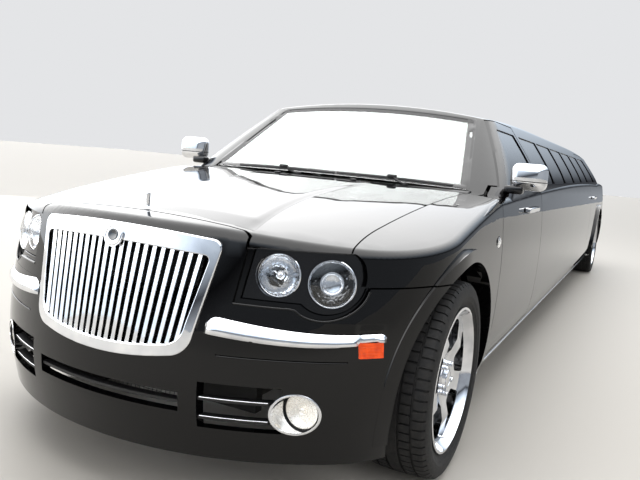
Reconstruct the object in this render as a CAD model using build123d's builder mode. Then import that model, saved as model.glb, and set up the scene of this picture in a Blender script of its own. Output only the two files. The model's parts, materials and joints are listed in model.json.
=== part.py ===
# Stretch limousine: a full-size saloon with a long middle section let in behind the front doors.
# Frame: millimetres, the nose points along -Y, +X is the car's left and the ground is Z = 0.
# Lengths along the car are given as distances behind the nose, and back() turns them to Y.

from build123d import *
import os
from math import asin, cos, radians, sin

os.makedirs("parts", exist_ok=True)

# Driving sizes of the car
front_overhang = 857
standard_wheelbase = 3048
stretch = 3556
rear_overhang = 1094
wheelbase = standard_wheelbase + stretch
length = front_overhang + wheelbase + rear_overhang
nose_y = -length / 2
front_axle = front_overhang
rear_axle = front_overhang + wheelbase
panel_gap = 5
hinge_gap = 6
lid_gap = 8
wide = 1010

# Walls
hood_wall = 24
fender_wall = 34
side_wall = 62
roof_wall = 40
glass_wall = 5
glass_setback = 7

# Wheels and arches
tyre_radius = 364
tyre_width = 245
rim_seat_radius = 257
wheel_centre_x = 800
axle_height = tyre_radius
arch_radius = 438
flare_radius = 484
flare_out = 22
kingpin_x = 735

# Shut lines, behind the nose
hood_front = 188
hood_rear_centre = 1400
hood_rear_corner = 1450
hood_half_front = 700
hood_half_waist = 660
hood_waist = 590
hood_half_rear = 722
fender_end = 1457
front_door_end = 2615
rear_door_start = front_door_end + stretch
rear_door_end = rear_door_start + 880
deck_start = rear_door_end + 45
lid_front = rear_axle + 415
lid_half = 650

# Heights
lamp_top = 848
bumper_top = 750
sill_bottom = 240
door_bottom = 300
belt_front = 1040
belt_rear = 1118
rear_bumper_low = 256
rear_bumper_top = 640
rear_panel_top = 795


def back(distance):
    return nose_y + distance


def write(block, label):
    block.part.label = label
    export_step(block.part, "parts/" + label + ".step")


def write_pair(block, label):
    # the left-hand piece as modelled and the right-hand one as its mirror image
    write(block, label + "_left")
    with BuildPart() as right:
        add(mirror(block.part, about=Plane.YZ, mode=Mode.PRIVATE))
    write(right, label + "_right")


# Body skins

# Horizontal outlines of the body.
# columns: height, half width, setback of the nose, setback of the tail
body_levels = [
    (330, 893, 16, 4),
    (480, 911, 10, 0),
    (640, 917, 30, 10),
    (800, 914, 60, 30),
    (950, 900, 88, 62),
    (1190, 856, 132, 108),
]
chin_levels = [
    (192, 846, 50, 40),
    (330, 893, 16, 4),
]
# radius and half width of the arcs across the nose and the tail
nose_arc = (1100, 690)
tail_arc = (2400, 650)
inner_drop = 60


def corner_points(half, arc_radius, arc_half):
    # the corner arc that turns the end arc into the side
    turn = asin(arc_half / arc_radius)
    depth = arc_radius * (1 - cos(turn))
    corner = (half - arc_half) / (1 - sin(turn))
    middle = (turn + radians(90)) / 2
    mid_x = half - corner + corner * sin(middle)
    end = depth + corner * cos(turn)
    mid_depth = end - corner * cos(middle)
    return depth, mid_x, mid_depth, end


def body_outline(half, front, rear, front_arc, rear_arc):
    front_half = front_arc[1]
    rear_half = rear_arc[1]
    depth, mid_x, mid_depth, end = corner_points(half, *front_arc)
    rear_depth, rear_mid_x, rear_mid_depth, rear_end = corner_points(half, *rear_arc)
    ThreePointArc((-front_half, front + depth), (0, front), (front_half, front + depth))
    for side in (1, -1):
        ThreePointArc(
            (side * front_half, front + depth),
            (side * mid_x, front + mid_depth),
            (side * half, front + end),
        )
        Line((side * half, front + end), (side * half, rear - rear_end))
        ThreePointArc(
            (side * half, rear - rear_end),
            (side * rear_mid_x, rear - rear_mid_depth),
            (side * rear_half, rear - rear_depth),
        )
    ThreePointArc((-rear_half, rear - rear_depth), (0, rear), (rear_half, rear - rear_depth))


def plan_volume(inset, out=0):
    # the body seen from above at each level, lofted upwards; out swells the sides for the flares
    front_arc = (nose_arc[0] - inset, nose_arc[1] - inset)
    rear_arc = (tail_arc[0] - inset, tail_arc[1] - inset)
    with BuildPart() as volume:
        for levels, flat in ((body_levels, False), (chin_levels, True)):
            for index, (height, half, front, rear) in enumerate(levels):
                low = inner_drop if flat and index == 0 and inset > 0 else 0
                with BuildSketch(Plane.XY.offset(height - low)):
                    with BuildLine():
                        body_outline(
                            half - inset + out,
                            back(front + inset),
                            back(length - rear - inset),
                            front_arc,
                            rear_arc,
                        )
                    make_face()
            loft(ruled=flat)
    return volume.part


# Cross sections of the top surface.
# columns: distance behind the nose, centre height, crease half width, crease height,
# height 700 out, height 1000 out
hood_sections = [
    (-60, 880, 325, 870, 808, 720),
    (400, 934, 345, 920, 869, 798),
    (900, 988, 385, 977, 951, 898),
    (fender_end, belt_front, 420, belt_front - 5, belt_front - 15, belt_front - 42),
]
cabin_sections = [
    hood_sections[-1],
    (front_door_end + 90, belt_front + 40, 420, belt_front + 35, belt_front + 25, belt_front - 2),
    (deck_start, belt_rear, 420, belt_rear - 5, belt_rear - 15, belt_rear - 42),
]
deck_sections = [
    cabin_sections[-1],
    (length - 600, belt_rear + 18, 430, belt_rear + 14, belt_rear - 2, belt_rear - 50),
    (length + 60, belt_rear - 12, 430, belt_rear - 18, belt_rear - 40, belt_rear - 110),
]
section_half = 1000
section_floor = 60
shoulder_radius = 42


def top_volume(sections, inset):
    with BuildPart() as volume:
        for distance, centre, crease_x, crease, edge, out in sections:
            with BuildSketch(Plane.XZ.offset(-back(distance))):
                with BuildLine():
                    level = crease - inset
                    ThreePointArc((-crease_x, level), (0, centre - inset), (crease_x, level))
                    for side in (1, -1):
                        ThreePointArc(
                            (side * crease_x, crease - inset),
                            (side * 700, edge - inset),
                            (side * section_half, out - inset),
                        )
                        Line((side * section_half, out - inset), (side * section_half, section_floor))
                    Line((-section_half, section_floor), (section_half, section_floor))
                make_face()
        loft()
    return volume.part


def shoulder_edges(part, start, end, lowest):
    # the edges where a top surface meets the sides, without its creases and its two ends
    chosen = []
    for edge in part.edges():
        box = edge.bounding_box()
        at_end = box.min.Y > back(end) - 1 or box.max.Y < back(start) + 1
        half = max(abs(box.min.X), abs(box.max.X))
        crease = half < 600 and box.size.Y > 350
        if box.min.Z > lowest and not at_end and not crease:
            chosen.append(edge)
    return chosen


def body_volume(sections, inset, radius):
    # a length of the body below the windows, with rounded shoulders
    with BuildPart() as volume:
        add(plan_volume(inset))
        add(top_volume(sections, inset), mode=Mode.INTERSECT)
        fillet(shoulder_edges(volume.part, sections[0][0], sections[-1][0], 700), radius)
    return volume.part


# Windscreen, side windows, roof and rear window.
# columns: height, half width, windscreen setback, windscreen half width, rear window setback
glass_levels = [
    (960, 893, 1352, 745, 650),
    (1100, 858, 1567, 712, 820),
    (1260, 764, 1812, 655, 1010),
    (1500, 598, 2180, 560, 1300),
]
screen_radius = 2700
screen_slope = 1.6
# columns: distance behind the nose, centre height
roof_sections = [
    (1450, 1398),
    (2150, 1456),
    (3100, 1481),
    (rear_axle - 1400, 1483),
    (rear_axle - 350, 1455),
    (rear_axle + 500, 1385),
]
roof_fall = 50
roof_half = 620
roof_radius = 45


def roof_volume(inset):
    fall = roof_fall * (section_half / roof_half) ** 2
    with BuildPart() as volume:
        for distance, centre in roof_sections:
            edge = centre - fall - inset
            with BuildSketch(Plane.XZ.offset(-back(distance))):
                with BuildLine():
                    ThreePointArc((-section_half, edge), (0, centre - inset), (section_half, edge))
                    Line((-section_half, edge), (-section_half, 900))
                    Line((-section_half, 900), (section_half, 900))
                    Line((section_half, 900), (section_half, edge))
                make_face()
        loft()
    return volume.part


def glasshouse(inset):
    with BuildPart() as volume:
        for height, half, screen, screen_half, window in glass_levels:
            arc = (screen_radius - inset, screen_half - inset)
            with BuildSketch(Plane.XY.offset(height)):
                with BuildLine():
                    body_outline(
                        half - inset,
                        back(screen + inset * screen_slope),
                        back(length - window - inset * screen_slope),
                        arc,
                        arc,
                    )
                make_face()
        loft()
        add(roof_volume(inset), mode=Mode.INTERSECT)
        fillet(shoulder_edges(volume.part, 0, length, 1280), max(roof_radius - inset * 0.6, 12))
    return volume.part


def cross_prism(outline, start, end):
    # an outline in X and Z, carried along the car between two distances behind the nose
    with BuildPart() as prism:
        with BuildSketch(Plane.XZ.offset(-back(start))):
            with BuildLine():
                outline()
            make_face()
        extrude(amount=start - end)
    return prism.part


def side_prism(points, side, near, far):
    # an outline of distances behind the nose and heights, carried outwards from near to far
    with BuildPart() as prism:
        with BuildSketch(Plane.YZ.offset(side * near)):
            with BuildLine():
                Polyline([(back(distance), height) for distance, height in points], close=True)
            make_face()
        extrude(amount=side * (far - near))
    return prism.part


def block(half_range, distances, heights, side=1):
    # a box between two X places, two distances behind the nose and two heights
    middle = (side * (half_range[0] + half_range[1]) / 2, back((distances[0] + distances[1]) / 2))
    with BuildPart() as box:
        with BuildSketch(Plane.XY.offset(heights[0])):
            with Locations(middle):
                Rectangle(half_range[1] - half_range[0], distances[1] - distances[0])
        extrude(amount=heights[1] - heights[0])
    return box.part


def cross_cylinder(distance, height, radius, near, far):
    # a cylinder that lies across the car, between two X places
    with BuildPart() as cylinder:
        with BuildSketch(Plane.YZ.offset(near)):
            with Locations((back(distance), height)):
                Circle(radius)
        extrude(amount=far - near)
    return cylinder.part


front_outer = body_volume(hood_sections, 0, shoulder_radius)
hood_inner = body_volume(hood_sections, hood_wall, shoulder_radius - 14)
fender_inner = body_volume(hood_sections, fender_wall, shoulder_radius - 22)
deck_outer = body_volume(deck_sections, 0, shoulder_radius)
lower_outer = body_volume(cabin_sections, 0, shoulder_radius) + deck_outer
lower_inner = body_volume(cabin_sections, side_wall, 20) + body_volume(deck_sections, side_wall, 20)
lid_inner = body_volume(deck_sections, hood_wall, shoulder_radius - 14)
house_outer = glasshouse(0) & block((-wide, wide), (fender_end, length), (900, 1600))
house_inner = glasshouse(roof_wall)
glass_skin = glasshouse(glass_setback) - glasshouse(glass_setback + glass_wall)
swollen_skin = plan_volume(0, flare_out) - plan_volume(side_wall + 6)
front_arches = cross_cylinder(front_axle, axle_height, arch_radius, -wide, wide)
rear_arches = cross_cylinder(rear_axle, axle_height, arch_radius, -wide, wide)


def flares(distance):
    # the raised lips round a pair of wheel arches
    with BuildPart() as lips:
        for near, far in ((600, wide), (-wide, -600)):
            with BuildSketch(Plane.YZ.offset(near)):
                with Locations((back(distance), axle_height)):
                    Circle(flare_radius)
                    Circle(arch_radius, mode=Mode.SUBTRACT)
            extrude(amount=far - near)
        add(swollen_skin, mode=Mode.INTERSECT)
        add(block((-wide, wide), (0, length), (sill_bottom, 1000)), mode=Mode.INTERSECT)
    return lips.part


front_flares = flares(front_axle)
rear_flares = flares(rear_axle)


def shut_line(side, out):
    # the curve between hood and fender, seen from above
    waist = (side * (hood_half_waist + out), back(hood_waist))
    ThreePointArc(
        (side * (hood_half_rear + out), back(hood_rear_corner)),
        (side * (hood_half_waist + 15 + out), back(980)),
        waist,
    )
    ThreePointArc(
        waist,
        (side * (hood_half_waist + 12 + out), back(400)),
        (side * (hood_half_front + out), back(262)),
    )


# Hood, with ears that reach forward over the lamps
def hood_space(grow):
    rear_half = hood_half_rear + grow
    front_half = hood_half_front + grow
    rear_y = back(hood_rear_corner)
    header_y = back(hood_front) - grow
    header_half = 392 - grow / 2
    with BuildPart() as region:
        with BuildSketch(Plane.XY.offset(lamp_top - grow)):
            with BuildLine():
                rear_middle = (0, back(hood_rear_centre) + grow)
                ThreePointArc((-rear_half, rear_y + grow), rear_middle, (rear_half, rear_y + grow))
                ThreePointArc((-header_half, header_y), (0, header_y - 4), (header_half, header_y))
                for side in (1, -1):
                    shut_line(side, grow)
                    if grow:
                        Line((side * rear_half, rear_y), (side * rear_half, rear_y + grow))
                    Polyline(
                        (side * front_half, back(262)),
                        (side * front_half, back(60) - grow),
                        (side * (432 - grow), back(60) - grow),
                        (side * (426 - grow), back(172) - grow),
                        (side * header_half, header_y),
                    )
            make_face()
        extrude(amount=400)
    return region.part


# Hood hinges: a barrel on the hood between two ears on the cowl.
# columns: distance behind the nose and height of the axis, barrel radius
hood_hinge = (1440, 1000)
barrel_radius = 10
barrel_x = (480, 540)
ear_width = 10
ear_gap = 0.3

with BuildPart() as hood:
    add(front_outer)
    add(hood_inner, mode=Mode.SUBTRACT)
    add(hood_space(0), mode=Mode.INTERSECT)
    for side in (1, -1):
        near, far = sorted((side * barrel_x[0], side * barrel_x[1]))
        add(cross_cylinder(*hood_hinge, barrel_radius, near, far))
        add(block(barrel_x, (1396, hood_hinge[0]), (hood_hinge[1] - 6, 1013), side))
write(hood, "hood")


# Headlamp opening in the nose, seen from the front
lamp_inner = 424


def lamp_outline(side, grow):
    top = lamp_top if grow else lamp_top - hinge_gap
    top_in = (side * (440 - grow), top)
    bottom_in = (side * (lamp_inner - grow), 696 - grow)
    bottom_mid = (side * (580 - grow / 2), 691 - grow)
    side_low = (side * (731 + grow), 738)
    side_high = (side * (730 + grow), 802)
    top_out = (side * (697 + grow / 2), top)
    Line(top_in, bottom_in)
    Line(bottom_in, bottom_mid)
    ThreePointArc(bottom_mid, (side * (660 + grow / 4), 664 - grow), side_low)
    ThreePointArc(side_low, (side * (735 + grow), 770), side_high)
    ThreePointArc(side_high, (side * (719 + grow), 828 + grow / 2), top_out)
    Line(top_out, top_in)


def lamp_space(side, grow):
    return cross_prism(lambda: lamp_outline(side, grow), -60, 470)


# Fender: outboard of the hood, above the bumper ahead of the wheel, and down to the sill behind it
def fender_space(side, grow):
    inboard = panel_gap - grow
    with BuildPart() as region:
        with BuildSketch(Plane.XY.offset(sill_bottom - grow)):
            with BuildLine():
                shut_line(side, inboard)
                Polyline(
                    (side * (hood_half_front + inboard), back(262)),
                    (side * (hood_half_front + inboard), back(120)),
                    (side * wide, back(120)),
                    (side * wide, back(fender_end)),
                    (side * (hood_half_rear + inboard), back(fender_end)),
                    (side * (hood_half_rear + inboard), back(hood_rear_corner)),
                )
            make_face()
        extrude(amount=900)
        add(block((500, wide), (0, front_axle), (0, bumper_top - grow), side), mode=Mode.SUBTRACT)
    return region.part


repeater_place = (1375, 833)
repeater_radius = 27


def fender(side):
    with BuildPart() as panel:
        add(front_outer)
        add(fender_inner, mode=Mode.SUBTRACT)
        add(front_flares)
        add(fender_space(side, 0), mode=Mode.INTERSECT)
        add([front_arches, lamp_space(side, 2)], mode=Mode.SUBTRACT)
        with BuildSketch(Plane.YZ.offset(side * 800)):
            with Locations((back(repeater_place[0]), repeater_place[1])):
                Circle(repeater_radius)
        extrude(amount=side * 200, mode=Mode.SUBTRACT)
    return panel


front_fender_left = fender(1)
write_pair(front_fender_left, "front_fender")

# Grille: the outer outline of its surround and the opening for the slats.
# columns: bottom centre height, bottom half width and height, lower side half width and height,
# upper side half width and height, top half width and height, top centre height
surround_outline = (482, 262, 508, 314, 572, 357, 822, 330, 860, 876)
opening_outline = (519, 240, 541, 286, 592, 326, 792, 312, 810, 822)
surround_proud = 10
slat_count = 21
slat_pitch_top = 30
slat_pitch_bottom = 26
slat_width = 15


def grille_outline(columns, grow=0):
    bottom, bottom_half, bottom_edge, low_half, low, high_half, high, top_half, top_edge, top = columns
    ThreePointArc(
        (-bottom_half, bottom_edge - grow),
        (0, bottom - grow),
        (bottom_half, bottom_edge - grow),
    )
    ThreePointArc((-top_half, top_edge + grow), (0, top + grow), (top_half, top_edge + grow))
    for side in (1, -1):
        low_corner = (side * (low_half + grow), low)
        high_corner = (side * (high_half + grow), high)
        bulge = 0.2 * (low - bottom_edge)
        ThreePointArc(
            (side * bottom_half, bottom_edge - grow),
            (side * ((bottom_half + low_half) / 2 + bulge * 0.8), (bottom_edge + low) / 2 - bulge * 0.6),
            low_corner,
        )
        Line(low_corner, high_corner)
        bulge = 0.2 * (top_edge - high)
        ThreePointArc(
            high_corner,
            (side * ((high_half + top_half) / 2 + bulge), (high + top_edge) / 2 + bulge),
            (side * top_half, top_edge + grow),
        )


def nose_solid(inset, end=900):
    # the nose alone, cut off square behind the front corners
    arc = (nose_arc[0] - inset, nose_arc[1] - inset)
    with BuildPart() as solid:
        for levels, flat in ((body_levels, False), (chin_levels, True)):
            for height, half, front, _ in levels:
                depth, mid_x, mid_depth, side_start = corner_points(half - inset, *arc)
                y = back(front + inset)
                with BuildSketch(Plane.XY.offset(height)):
                    with BuildLine():
                        ThreePointArc((-arc[1], y + depth), (0, y), (arc[1], y + depth))
                        for side in (1, -1):
                            edge = side * (half - inset)
                            middle = (side * mid_x, y + mid_depth)
                            ThreePointArc((side * arc[1], y + depth), middle, (edge, y + side_start))
                            Line((edge, y + side_start), (edge, back(end)))
                        Line((inset - half, back(end)), (half - inset, back(end)))
                    make_face()
            loft(ruled=flat)
    return solid.part


def nose_band(proud, depth):
    # a curved slice of the nose, from proud of the skin to a depth behind it
    return nose_solid(-proud) - nose_solid(depth)


with BuildPart() as grille_surround:
    add(nose_band(surround_proud, 44))
    add(cross_prism(lambda: grille_outline(surround_outline), -60, 470), mode=Mode.INTERSECT)
    add(cross_prism(lambda: grille_outline(opening_outline), -60, 470), mode=Mode.SUBTRACT)
write(grille_surround, "grille_surround")

slat_depth = 36
# columns: height, setback of the slats' front edges behind the nose at its centre
slat_levels = (
    (opening_outline[0] - 10, 9),
    (640, 28),
    (opening_outline[9] + 10, 62),
)


def slat(step):
    with BuildPart() as bar:
        for height, setback in slat_levels:
            share = (height - slat_levels[0][0]) / (slat_levels[-1][0] - slat_levels[0][0])
            x = step * (slat_pitch_bottom + (slat_pitch_top - slat_pitch_bottom) * share)
            sweep = x * x / (2 * nose_arc[0])
            with BuildSketch(Plane.XY.offset(height)):
                with Locations((x, back(setback + sweep + slat_depth / 2))):
                    Rectangle(slat_width, slat_depth)
        loft(ruled=True)
    return bar.part


with BuildPart() as grille_slats:
    for index in range(slat_count):
        add(slat(index - (slat_count - 1) / 2))
    add(cross_prism(lambda: grille_outline(opening_outline), -60, 470), mode=Mode.INTERSECT)
write(grille_slats, "grille_slats")

# Front bumper, with the lower grilles, fog lamps and a rebate for the bright strips
intake_half = 284
intake_low = 338
intake_high = 398
side_intake = (340, 570, 296, 440)
slat_thickness = 10
fog_place = (605, 360)
fog_radius = 67
strip_low = 588
strip_high = 622
strip_start = 312
strip_end = 376
strip_proud = 11
strip_depth = 7
fog_skin = 198
fog_wall = 7
groove_run = (384, 722)
groove_levels = (523, 528)
groove_depth = 6
ledge_width = 16
ledge_depth = 11
marker_low = 537
marker_start = 309
marker_depth = 18


def strip_space(side):
    return block((strip_start, 900), (-60, strip_end), (strip_low, strip_high), side)


def marker_space(side):
    return block((700, 900), (marker_start, strip_end - 4), (marker_low, strip_low - 4), side)


strip_band = nose_band(strip_proud, strip_depth)

with BuildPart() as front_bright_strips:
    for side in (1, -1):
        add(strip_band & strip_space(side))
    add(cross_prism(lambda: grille_outline(surround_outline), -60, 470), mode=Mode.SUBTRACT)
write(front_bright_strips, "front_bright_strips")

marker_band = nose_band(3, marker_depth)

with BuildPart() as marker_lamps:
    for side in (1, -1):
        add(marker_band & marker_space(side))
write(marker_lamps, "marker_lamps")


def bumper_cuts():
    # everything that passes through or lies in the bumper skin
    cuts = [
        hood_space(lid_gap),
        front_arches,
        cross_prism(lambda: grille_outline(surround_outline), -60, 470),
        block((-intake_half, intake_half), (-60, 300), (intake_low, intake_high)),
        front_bright_strips.part,
        marker_lamps.part,
    ]
    cuts.append(block((-wide, wide), (262, 900), (bumper_top - panel_gap + 1, 1100)))
    for side in (1, -1):
        cuts.append(fender_space(side, panel_gap))
        cuts.append(lamp_space(side, 2))
        cuts.append(lamp_space(side, ledge_width) - nose_solid(ledge_depth))
        cuts.append(block(groove_run, (-60, 340), groove_levels, side) - nose_solid(groove_depth))
        cuts.append(block(side_intake[:2], (-60, 400), side_intake[2:], side))
        with BuildPart() as fog_hole:
            with BuildSketch(Plane.XZ.offset(-back(-60))):
                with Locations((side * fog_place[0], fog_place[1])):
                    Circle(fog_radius)
            extrude(amount=-500)
        cuts.append(fog_hole.part)
    return cuts


with BuildPart() as front_bumper:
    add(front_outer)
    add(fender_inner, mode=Mode.SUBTRACT)
    add(front_flares)
    add(block((-wide, wide), (-60, front_axle), (0, 1100)), mode=Mode.INTERSECT)
    add(bumper_cuts(), mode=Mode.SUBTRACT)
write(front_bumper, "front_bumper")

# Headlamps: twin round lamps, turned out and leaned back with the nose.
# columns: X, distance behind the nose, height, lens radius, outward turn
lamp_table = (
    (507, 208, 768, 66, 16),
    (649, 281, 753, 73, 25),
)
lamp_lean = 7
bezel_setback = 18
bowl_depth = 62


def lamp_plane(side, place):
    x, distance, height, _, turn = place
    facing = Vector(side * sin(radians(turn)), -cos(radians(turn)), sin(radians(lamp_lean)))
    across = (side * 1, sin(radians(turn)), 0)
    return Plane(origin=(side * x, back(distance), height), x_dir=across, z_dir=facing)


with BuildPart() as headlamp_bezels:
    bezel_band = nose_band(-bezel_setback, bezel_setback + 46)
    for side in (1, -1):
        add(bezel_band & lamp_space(side, 0))
        for place in lamp_table:
            with BuildSketch(lamp_plane(side, place).offset(90)):
                Circle(place[3] + 1)
            extrude(amount=-240, mode=Mode.SUBTRACT)
write(headlamp_bezels, "headlamp_bezels")

with BuildPart() as lamp_reflectors:
    for side in (1, -1):
        for place in lamp_table:
            radius = place[3]
            plane = lamp_plane(side, place)
            with BuildSketch(Plane(origin=plane.origin, x_dir=plane.x_dir, z_dir=-plane.y_dir)):
                with BuildLine():
                    ThreePointArc((12, -bowl_depth), (radius * 0.72, -bowl_depth * 0.62), (radius, -4))
                    Line((radius, -4), (radius - 3, -4))
                    inner_middle = (radius * 0.70 - 2, -bowl_depth * 0.60)
                    ThreePointArc((radius - 3, -4), inner_middle, (12, -bowl_depth + 4))
                    Line((12, -bowl_depth + 4), (0, -bowl_depth + 4))
                    Line((0, -bowl_depth + 4), (0, -bowl_depth))
                    Line((0, -bowl_depth), (12, -bowl_depth))
                make_face()
            revolve(axis=Axis(plane.origin, plane.z_dir))
write(lamp_reflectors, "lamp_reflectors")


def lens_dome(plane, radius, crown, wall):
    # a domed round lens about the plane's axis, both faces parts of spheres
    sphere = (radius**2 + crown**2) / (2 * crown)
    middle = (radius / 2, crown - sphere + (sphere**2 - radius**2 / 4) ** 0.5)
    with BuildPart() as lens:
        with BuildSketch(Plane(origin=plane.origin, x_dir=plane.x_dir, z_dir=-plane.y_dir)):
            with BuildLine():
                ThreePointArc((radius, 0), middle, (0, crown))
                Line((0, crown), (0, crown - wall))
                ThreePointArc((0, crown - wall), (middle[0], middle[1] - wall), (radius, -wall))
                Line((radius, -wall), (radius, 0))
            make_face()
        revolve(axis=Axis(plane.origin, plane.z_dir))
    return lens.part


fog_setback = 44


def fog_plane(side):
    return Plane(
        origin=(side * fog_place[0], back(fog_skin + fog_setback), fog_place[1]),
        x_dir=(1, 0, 0),
        z_dir=(0, -1, 0),
    )


def repeater_plane(side):
    return Plane(
        origin=(side * 913, back(repeater_place[0]), repeater_place[1]),
        x_dir=(0, 1, 0),
        z_dir=(side, 0, 0),
    )


with BuildPart() as lamp_lenses:
    for side in (1, -1):
        for place in lamp_table:
            add(lens_dome(lamp_plane(side, place), place[3], 10, 3))
        add(lens_dome(fog_plane(side), fog_radius - fog_wall - 0.6, 12, 4))
        add(lens_dome(repeater_plane(side), repeater_radius - 1, 9, 8))
write(lamp_lenses, "lamp_lenses")

# the fog lamps' bright cups, cut off flush with the skin
with BuildPart() as fog_bezels:
    for side in (1, -1):
        with BuildSketch(fog_plane(side).offset(-24)):
            Circle(fog_radius - 0.3)
        extrude(amount=140)
        with BuildSketch(fog_plane(side).offset(-8)):
            Circle(fog_radius - 0.3 - fog_wall)
        extrude(amount=160, mode=Mode.SUBTRACT)
    add(nose_solid(-2), mode=Mode.INTERSECT)
write(fog_bezels, "fog_bezels")

# Lower grilles: dark slats set back in the bumper's three openings
with BuildPart() as lower_grilles:
    lower_band = nose_band(-6, 38)
    slat_low = (intake_low + intake_high - slat_thickness) / 2
    levels = (slat_low, slat_low + slat_thickness)
    add(lower_band & block((-intake_half + 0.5, intake_half - 0.5), (-60, 300), levels))
    slat_end = fog_place[0] - fog_radius - 3
    for side in (1, -1):
        for low in (322, 382):
            levels = (low, low + slat_thickness)
            add(lower_band & block((side_intake[0] + 0.5, slat_end), (-60, 400), levels, side))
write(lower_grilles, "lower_grilles")

# Boss on the grille's top bar, and the ornament on the header
boss_radius = 36
boss_height = 835
ornament_height = 58
ornament_place = 203
with BuildPart() as grille_boss:
    with BuildSketch(Plane.XZ.offset(-back(30))):
        with Locations((0, boss_height)):
            Circle(boss_radius)
    extrude(amount=-60)
    add(nose_solid(-surround_proud - 7), mode=Mode.INTERSECT)
    add(nose_solid(-surround_proud), mode=Mode.SUBTRACT)
write(grille_boss, "grille_boss")

with BuildPart() as hood_ornament:
    with BuildSketch(Plane.XZ.offset(-back(ornament_place))):
        with BuildLine():
            top = 910 + ornament_height
            Line((0, 896), (15, 896))
            Line((15, 896), (15, 912))
            ThreePointArc((15, 912), (9, 916), (6, 924))
            Line((6, 924), (7, top - 7))
            ThreePointArc((7, top - 7), (7 * sin(radians(45)), top - 7 + 7 * cos(radians(45))), (0, top))
            Line((0, top), (0, 896))
        make_face()
    revolve(axis=Axis((0, back(ornament_place), 0), (0, 0, 1)))
    add(front_outer, mode=Mode.SUBTRACT)
write(hood_ornament, "hood_ornament")

# Cabin side: doors, windows, and the fixed panels round them.
# Door outlines are lists of distance behind the nose and height.
frame_top = 1395
door_head = 580
window_top = 1352
belt_window_front = 1062
belt_window_rear = 1112
front_door_low = (
    (fender_end + hinge_gap, door_bottom),
    (fender_end + hinge_gap, 1060),
    (front_door_end - 4, 1060),
    (front_door_end - 4, door_bottom),
)
front_door_high = (
    (1615, 1000),
    (1655, 1046),
    (2104, frame_top),
    (front_door_end - 14, frame_top),
    (front_door_end - 4, 1000),
)
front_opening_high = front_door_high[:3] + (
    (front_door_end - 2, frame_top),
    (front_door_end, 1000),
)
front_window = (
    (1716, belt_window_front),
    (2092, window_top),
    (2545, window_top),
    (2560, belt_window_front + 16),
)
rear_door_low = (
    (rear_door_start, door_bottom),
    (rear_door_start, 1120),
    (rear_door_end - 5, 1120),
    (rear_door_end - 5, 740),
    (rear_door_end - 80, 560),
    (rear_door_end - 110, 400),
    (rear_door_end - 110, door_bottom),
)
rear_door_high = (
    (rear_door_start, 1060),
    (rear_door_start + 4, frame_top),
    (rear_door_end - 192, frame_top),
    (rear_door_end - 11, 1120),
    (rear_door_end - 5, 1060),
)
rear_opening_high = (
    rear_door_high[0],
    rear_door_high[1],
    (rear_door_end - 175, frame_top),
    (rear_door_end, 1120),
    (rear_door_end, 1060),
)
rear_window = (
    (rear_door_start + 70, belt_window_rear),
    (rear_door_start + 74, window_top),
    (rear_door_end - 222, window_top),
    (rear_door_end - 96, belt_window_rear + 4),
)
pane_count = 5
pane_gap = 50
pane_start = front_door_end + 80
pane_end = rear_door_start - 72
pane_rise = (belt_window_rear - belt_window_front - 16) / (rear_door_start - front_door_end)


def pane(index):
    length_each = (pane_end - pane_start - (pane_count - 1) * pane_gap) / pane_count
    start = pane_start + index * (length_each + pane_gap)
    end = start + length_each
    low = belt_window_front + 18 + (start - front_door_end) * pane_rise
    low_end = belt_window_front + 18 + (end - front_door_end) * pane_rise
    return ((start, low), (start, window_top), (end, window_top), (end, low_end))


def screen_outline(bottom_half, bottom_edge, bottom, top_half, top_edge, top):
    ThreePointArc((-bottom_half, bottom_edge), (0, bottom), (bottom_half, bottom_edge))
    for side in (1, -1):
        Line((side * bottom_half, bottom_edge), (side * top_half, top_edge))
    ThreePointArc((-top_half, top_edge), (0, top), (top_half, top_edge))


windscreen_space = cross_prism(lambda: screen_outline(700, 1036, 1046, 572, 1392, 1425), 1300, 2400)
backlight_space = cross_prism(
    lambda: screen_outline(640, 1150, 1162, 545, 1372, 1402), rear_axle - 600, rear_axle + 500
)

lower_shell = lower_outer - lower_inner - house_inner
house_shell = house_outer - house_inner - lower_outer
cabin_shell = (lower_outer + house_outer) - (lower_inner + house_inner)


def door_region(low, high):
    return side_prism(low, 1, 796, wide) + side_prism(high, 1, door_head, 930)


def door(low, high, window):
    with BuildPart() as panel:
        add(cabin_shell)
        add(door_region(low, high), mode=Mode.INTERSECT)
        add(side_prism(window, 1, 400, wide), mode=Mode.SUBTRACT)
    return panel


front_door = door(front_door_low, front_door_high, front_window)
rear_door = door(rear_door_low, rear_door_high, rear_window)
write_pair(front_door, "front_door")
write_pair(rear_door, "rear_door")


def door_glass(window):
    with BuildPart() as glass:
        add(glass_skin)
        add(side_prism(window, 1, 400, wide), mode=Mode.INTERSECT)
    return glass


front_door_glass = door_glass(front_window)
rear_door_glass = door_glass(rear_window)
write_pair(front_door_glass, "front_door_glass")
write_pair(rear_door_glass, "rear_door_glass")


def grown(points, gap):
    # an outline moved outwards by the gap
    with BuildSketch() as shape:
        with BuildLine():
            Polyline(points, close=True)
        make_face()
        offset(amount=gap, kind=Kind.INTERSECTION)
    return shape.sketch


def grown_prism(points, gap, side, near, far):
    with BuildPart() as prism:
        with BuildSketch(Plane.YZ.offset(side * near)):
            add(grown([(back(distance), height) for distance, height in points], gap))
        extrude(amount=side * (far - near))
    return prism.part


def door_spaces(side):
    with BuildPart() as spaces:
        for low, high in ((front_door_low, front_opening_high), (rear_door_low, rear_opening_high)):
            add(grown_prism(low, hinge_gap, side, 780, wide))
            add(grown_prism(high, hinge_gap, side, door_head - hinge_gap, 940))
    return spaces.part


# Boot lid, tail lamps and rear bumper spaces
tail_lamp_outline = (lid_half + 6, 903, 770, 1012)


def lid_space(grow):
    with BuildPart() as space:
        half = lid_half + grow
        add(block((-half, half), (lid_front - grow, length + 60), (rear_panel_top - grow, 1300)))
    return space.part


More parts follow.
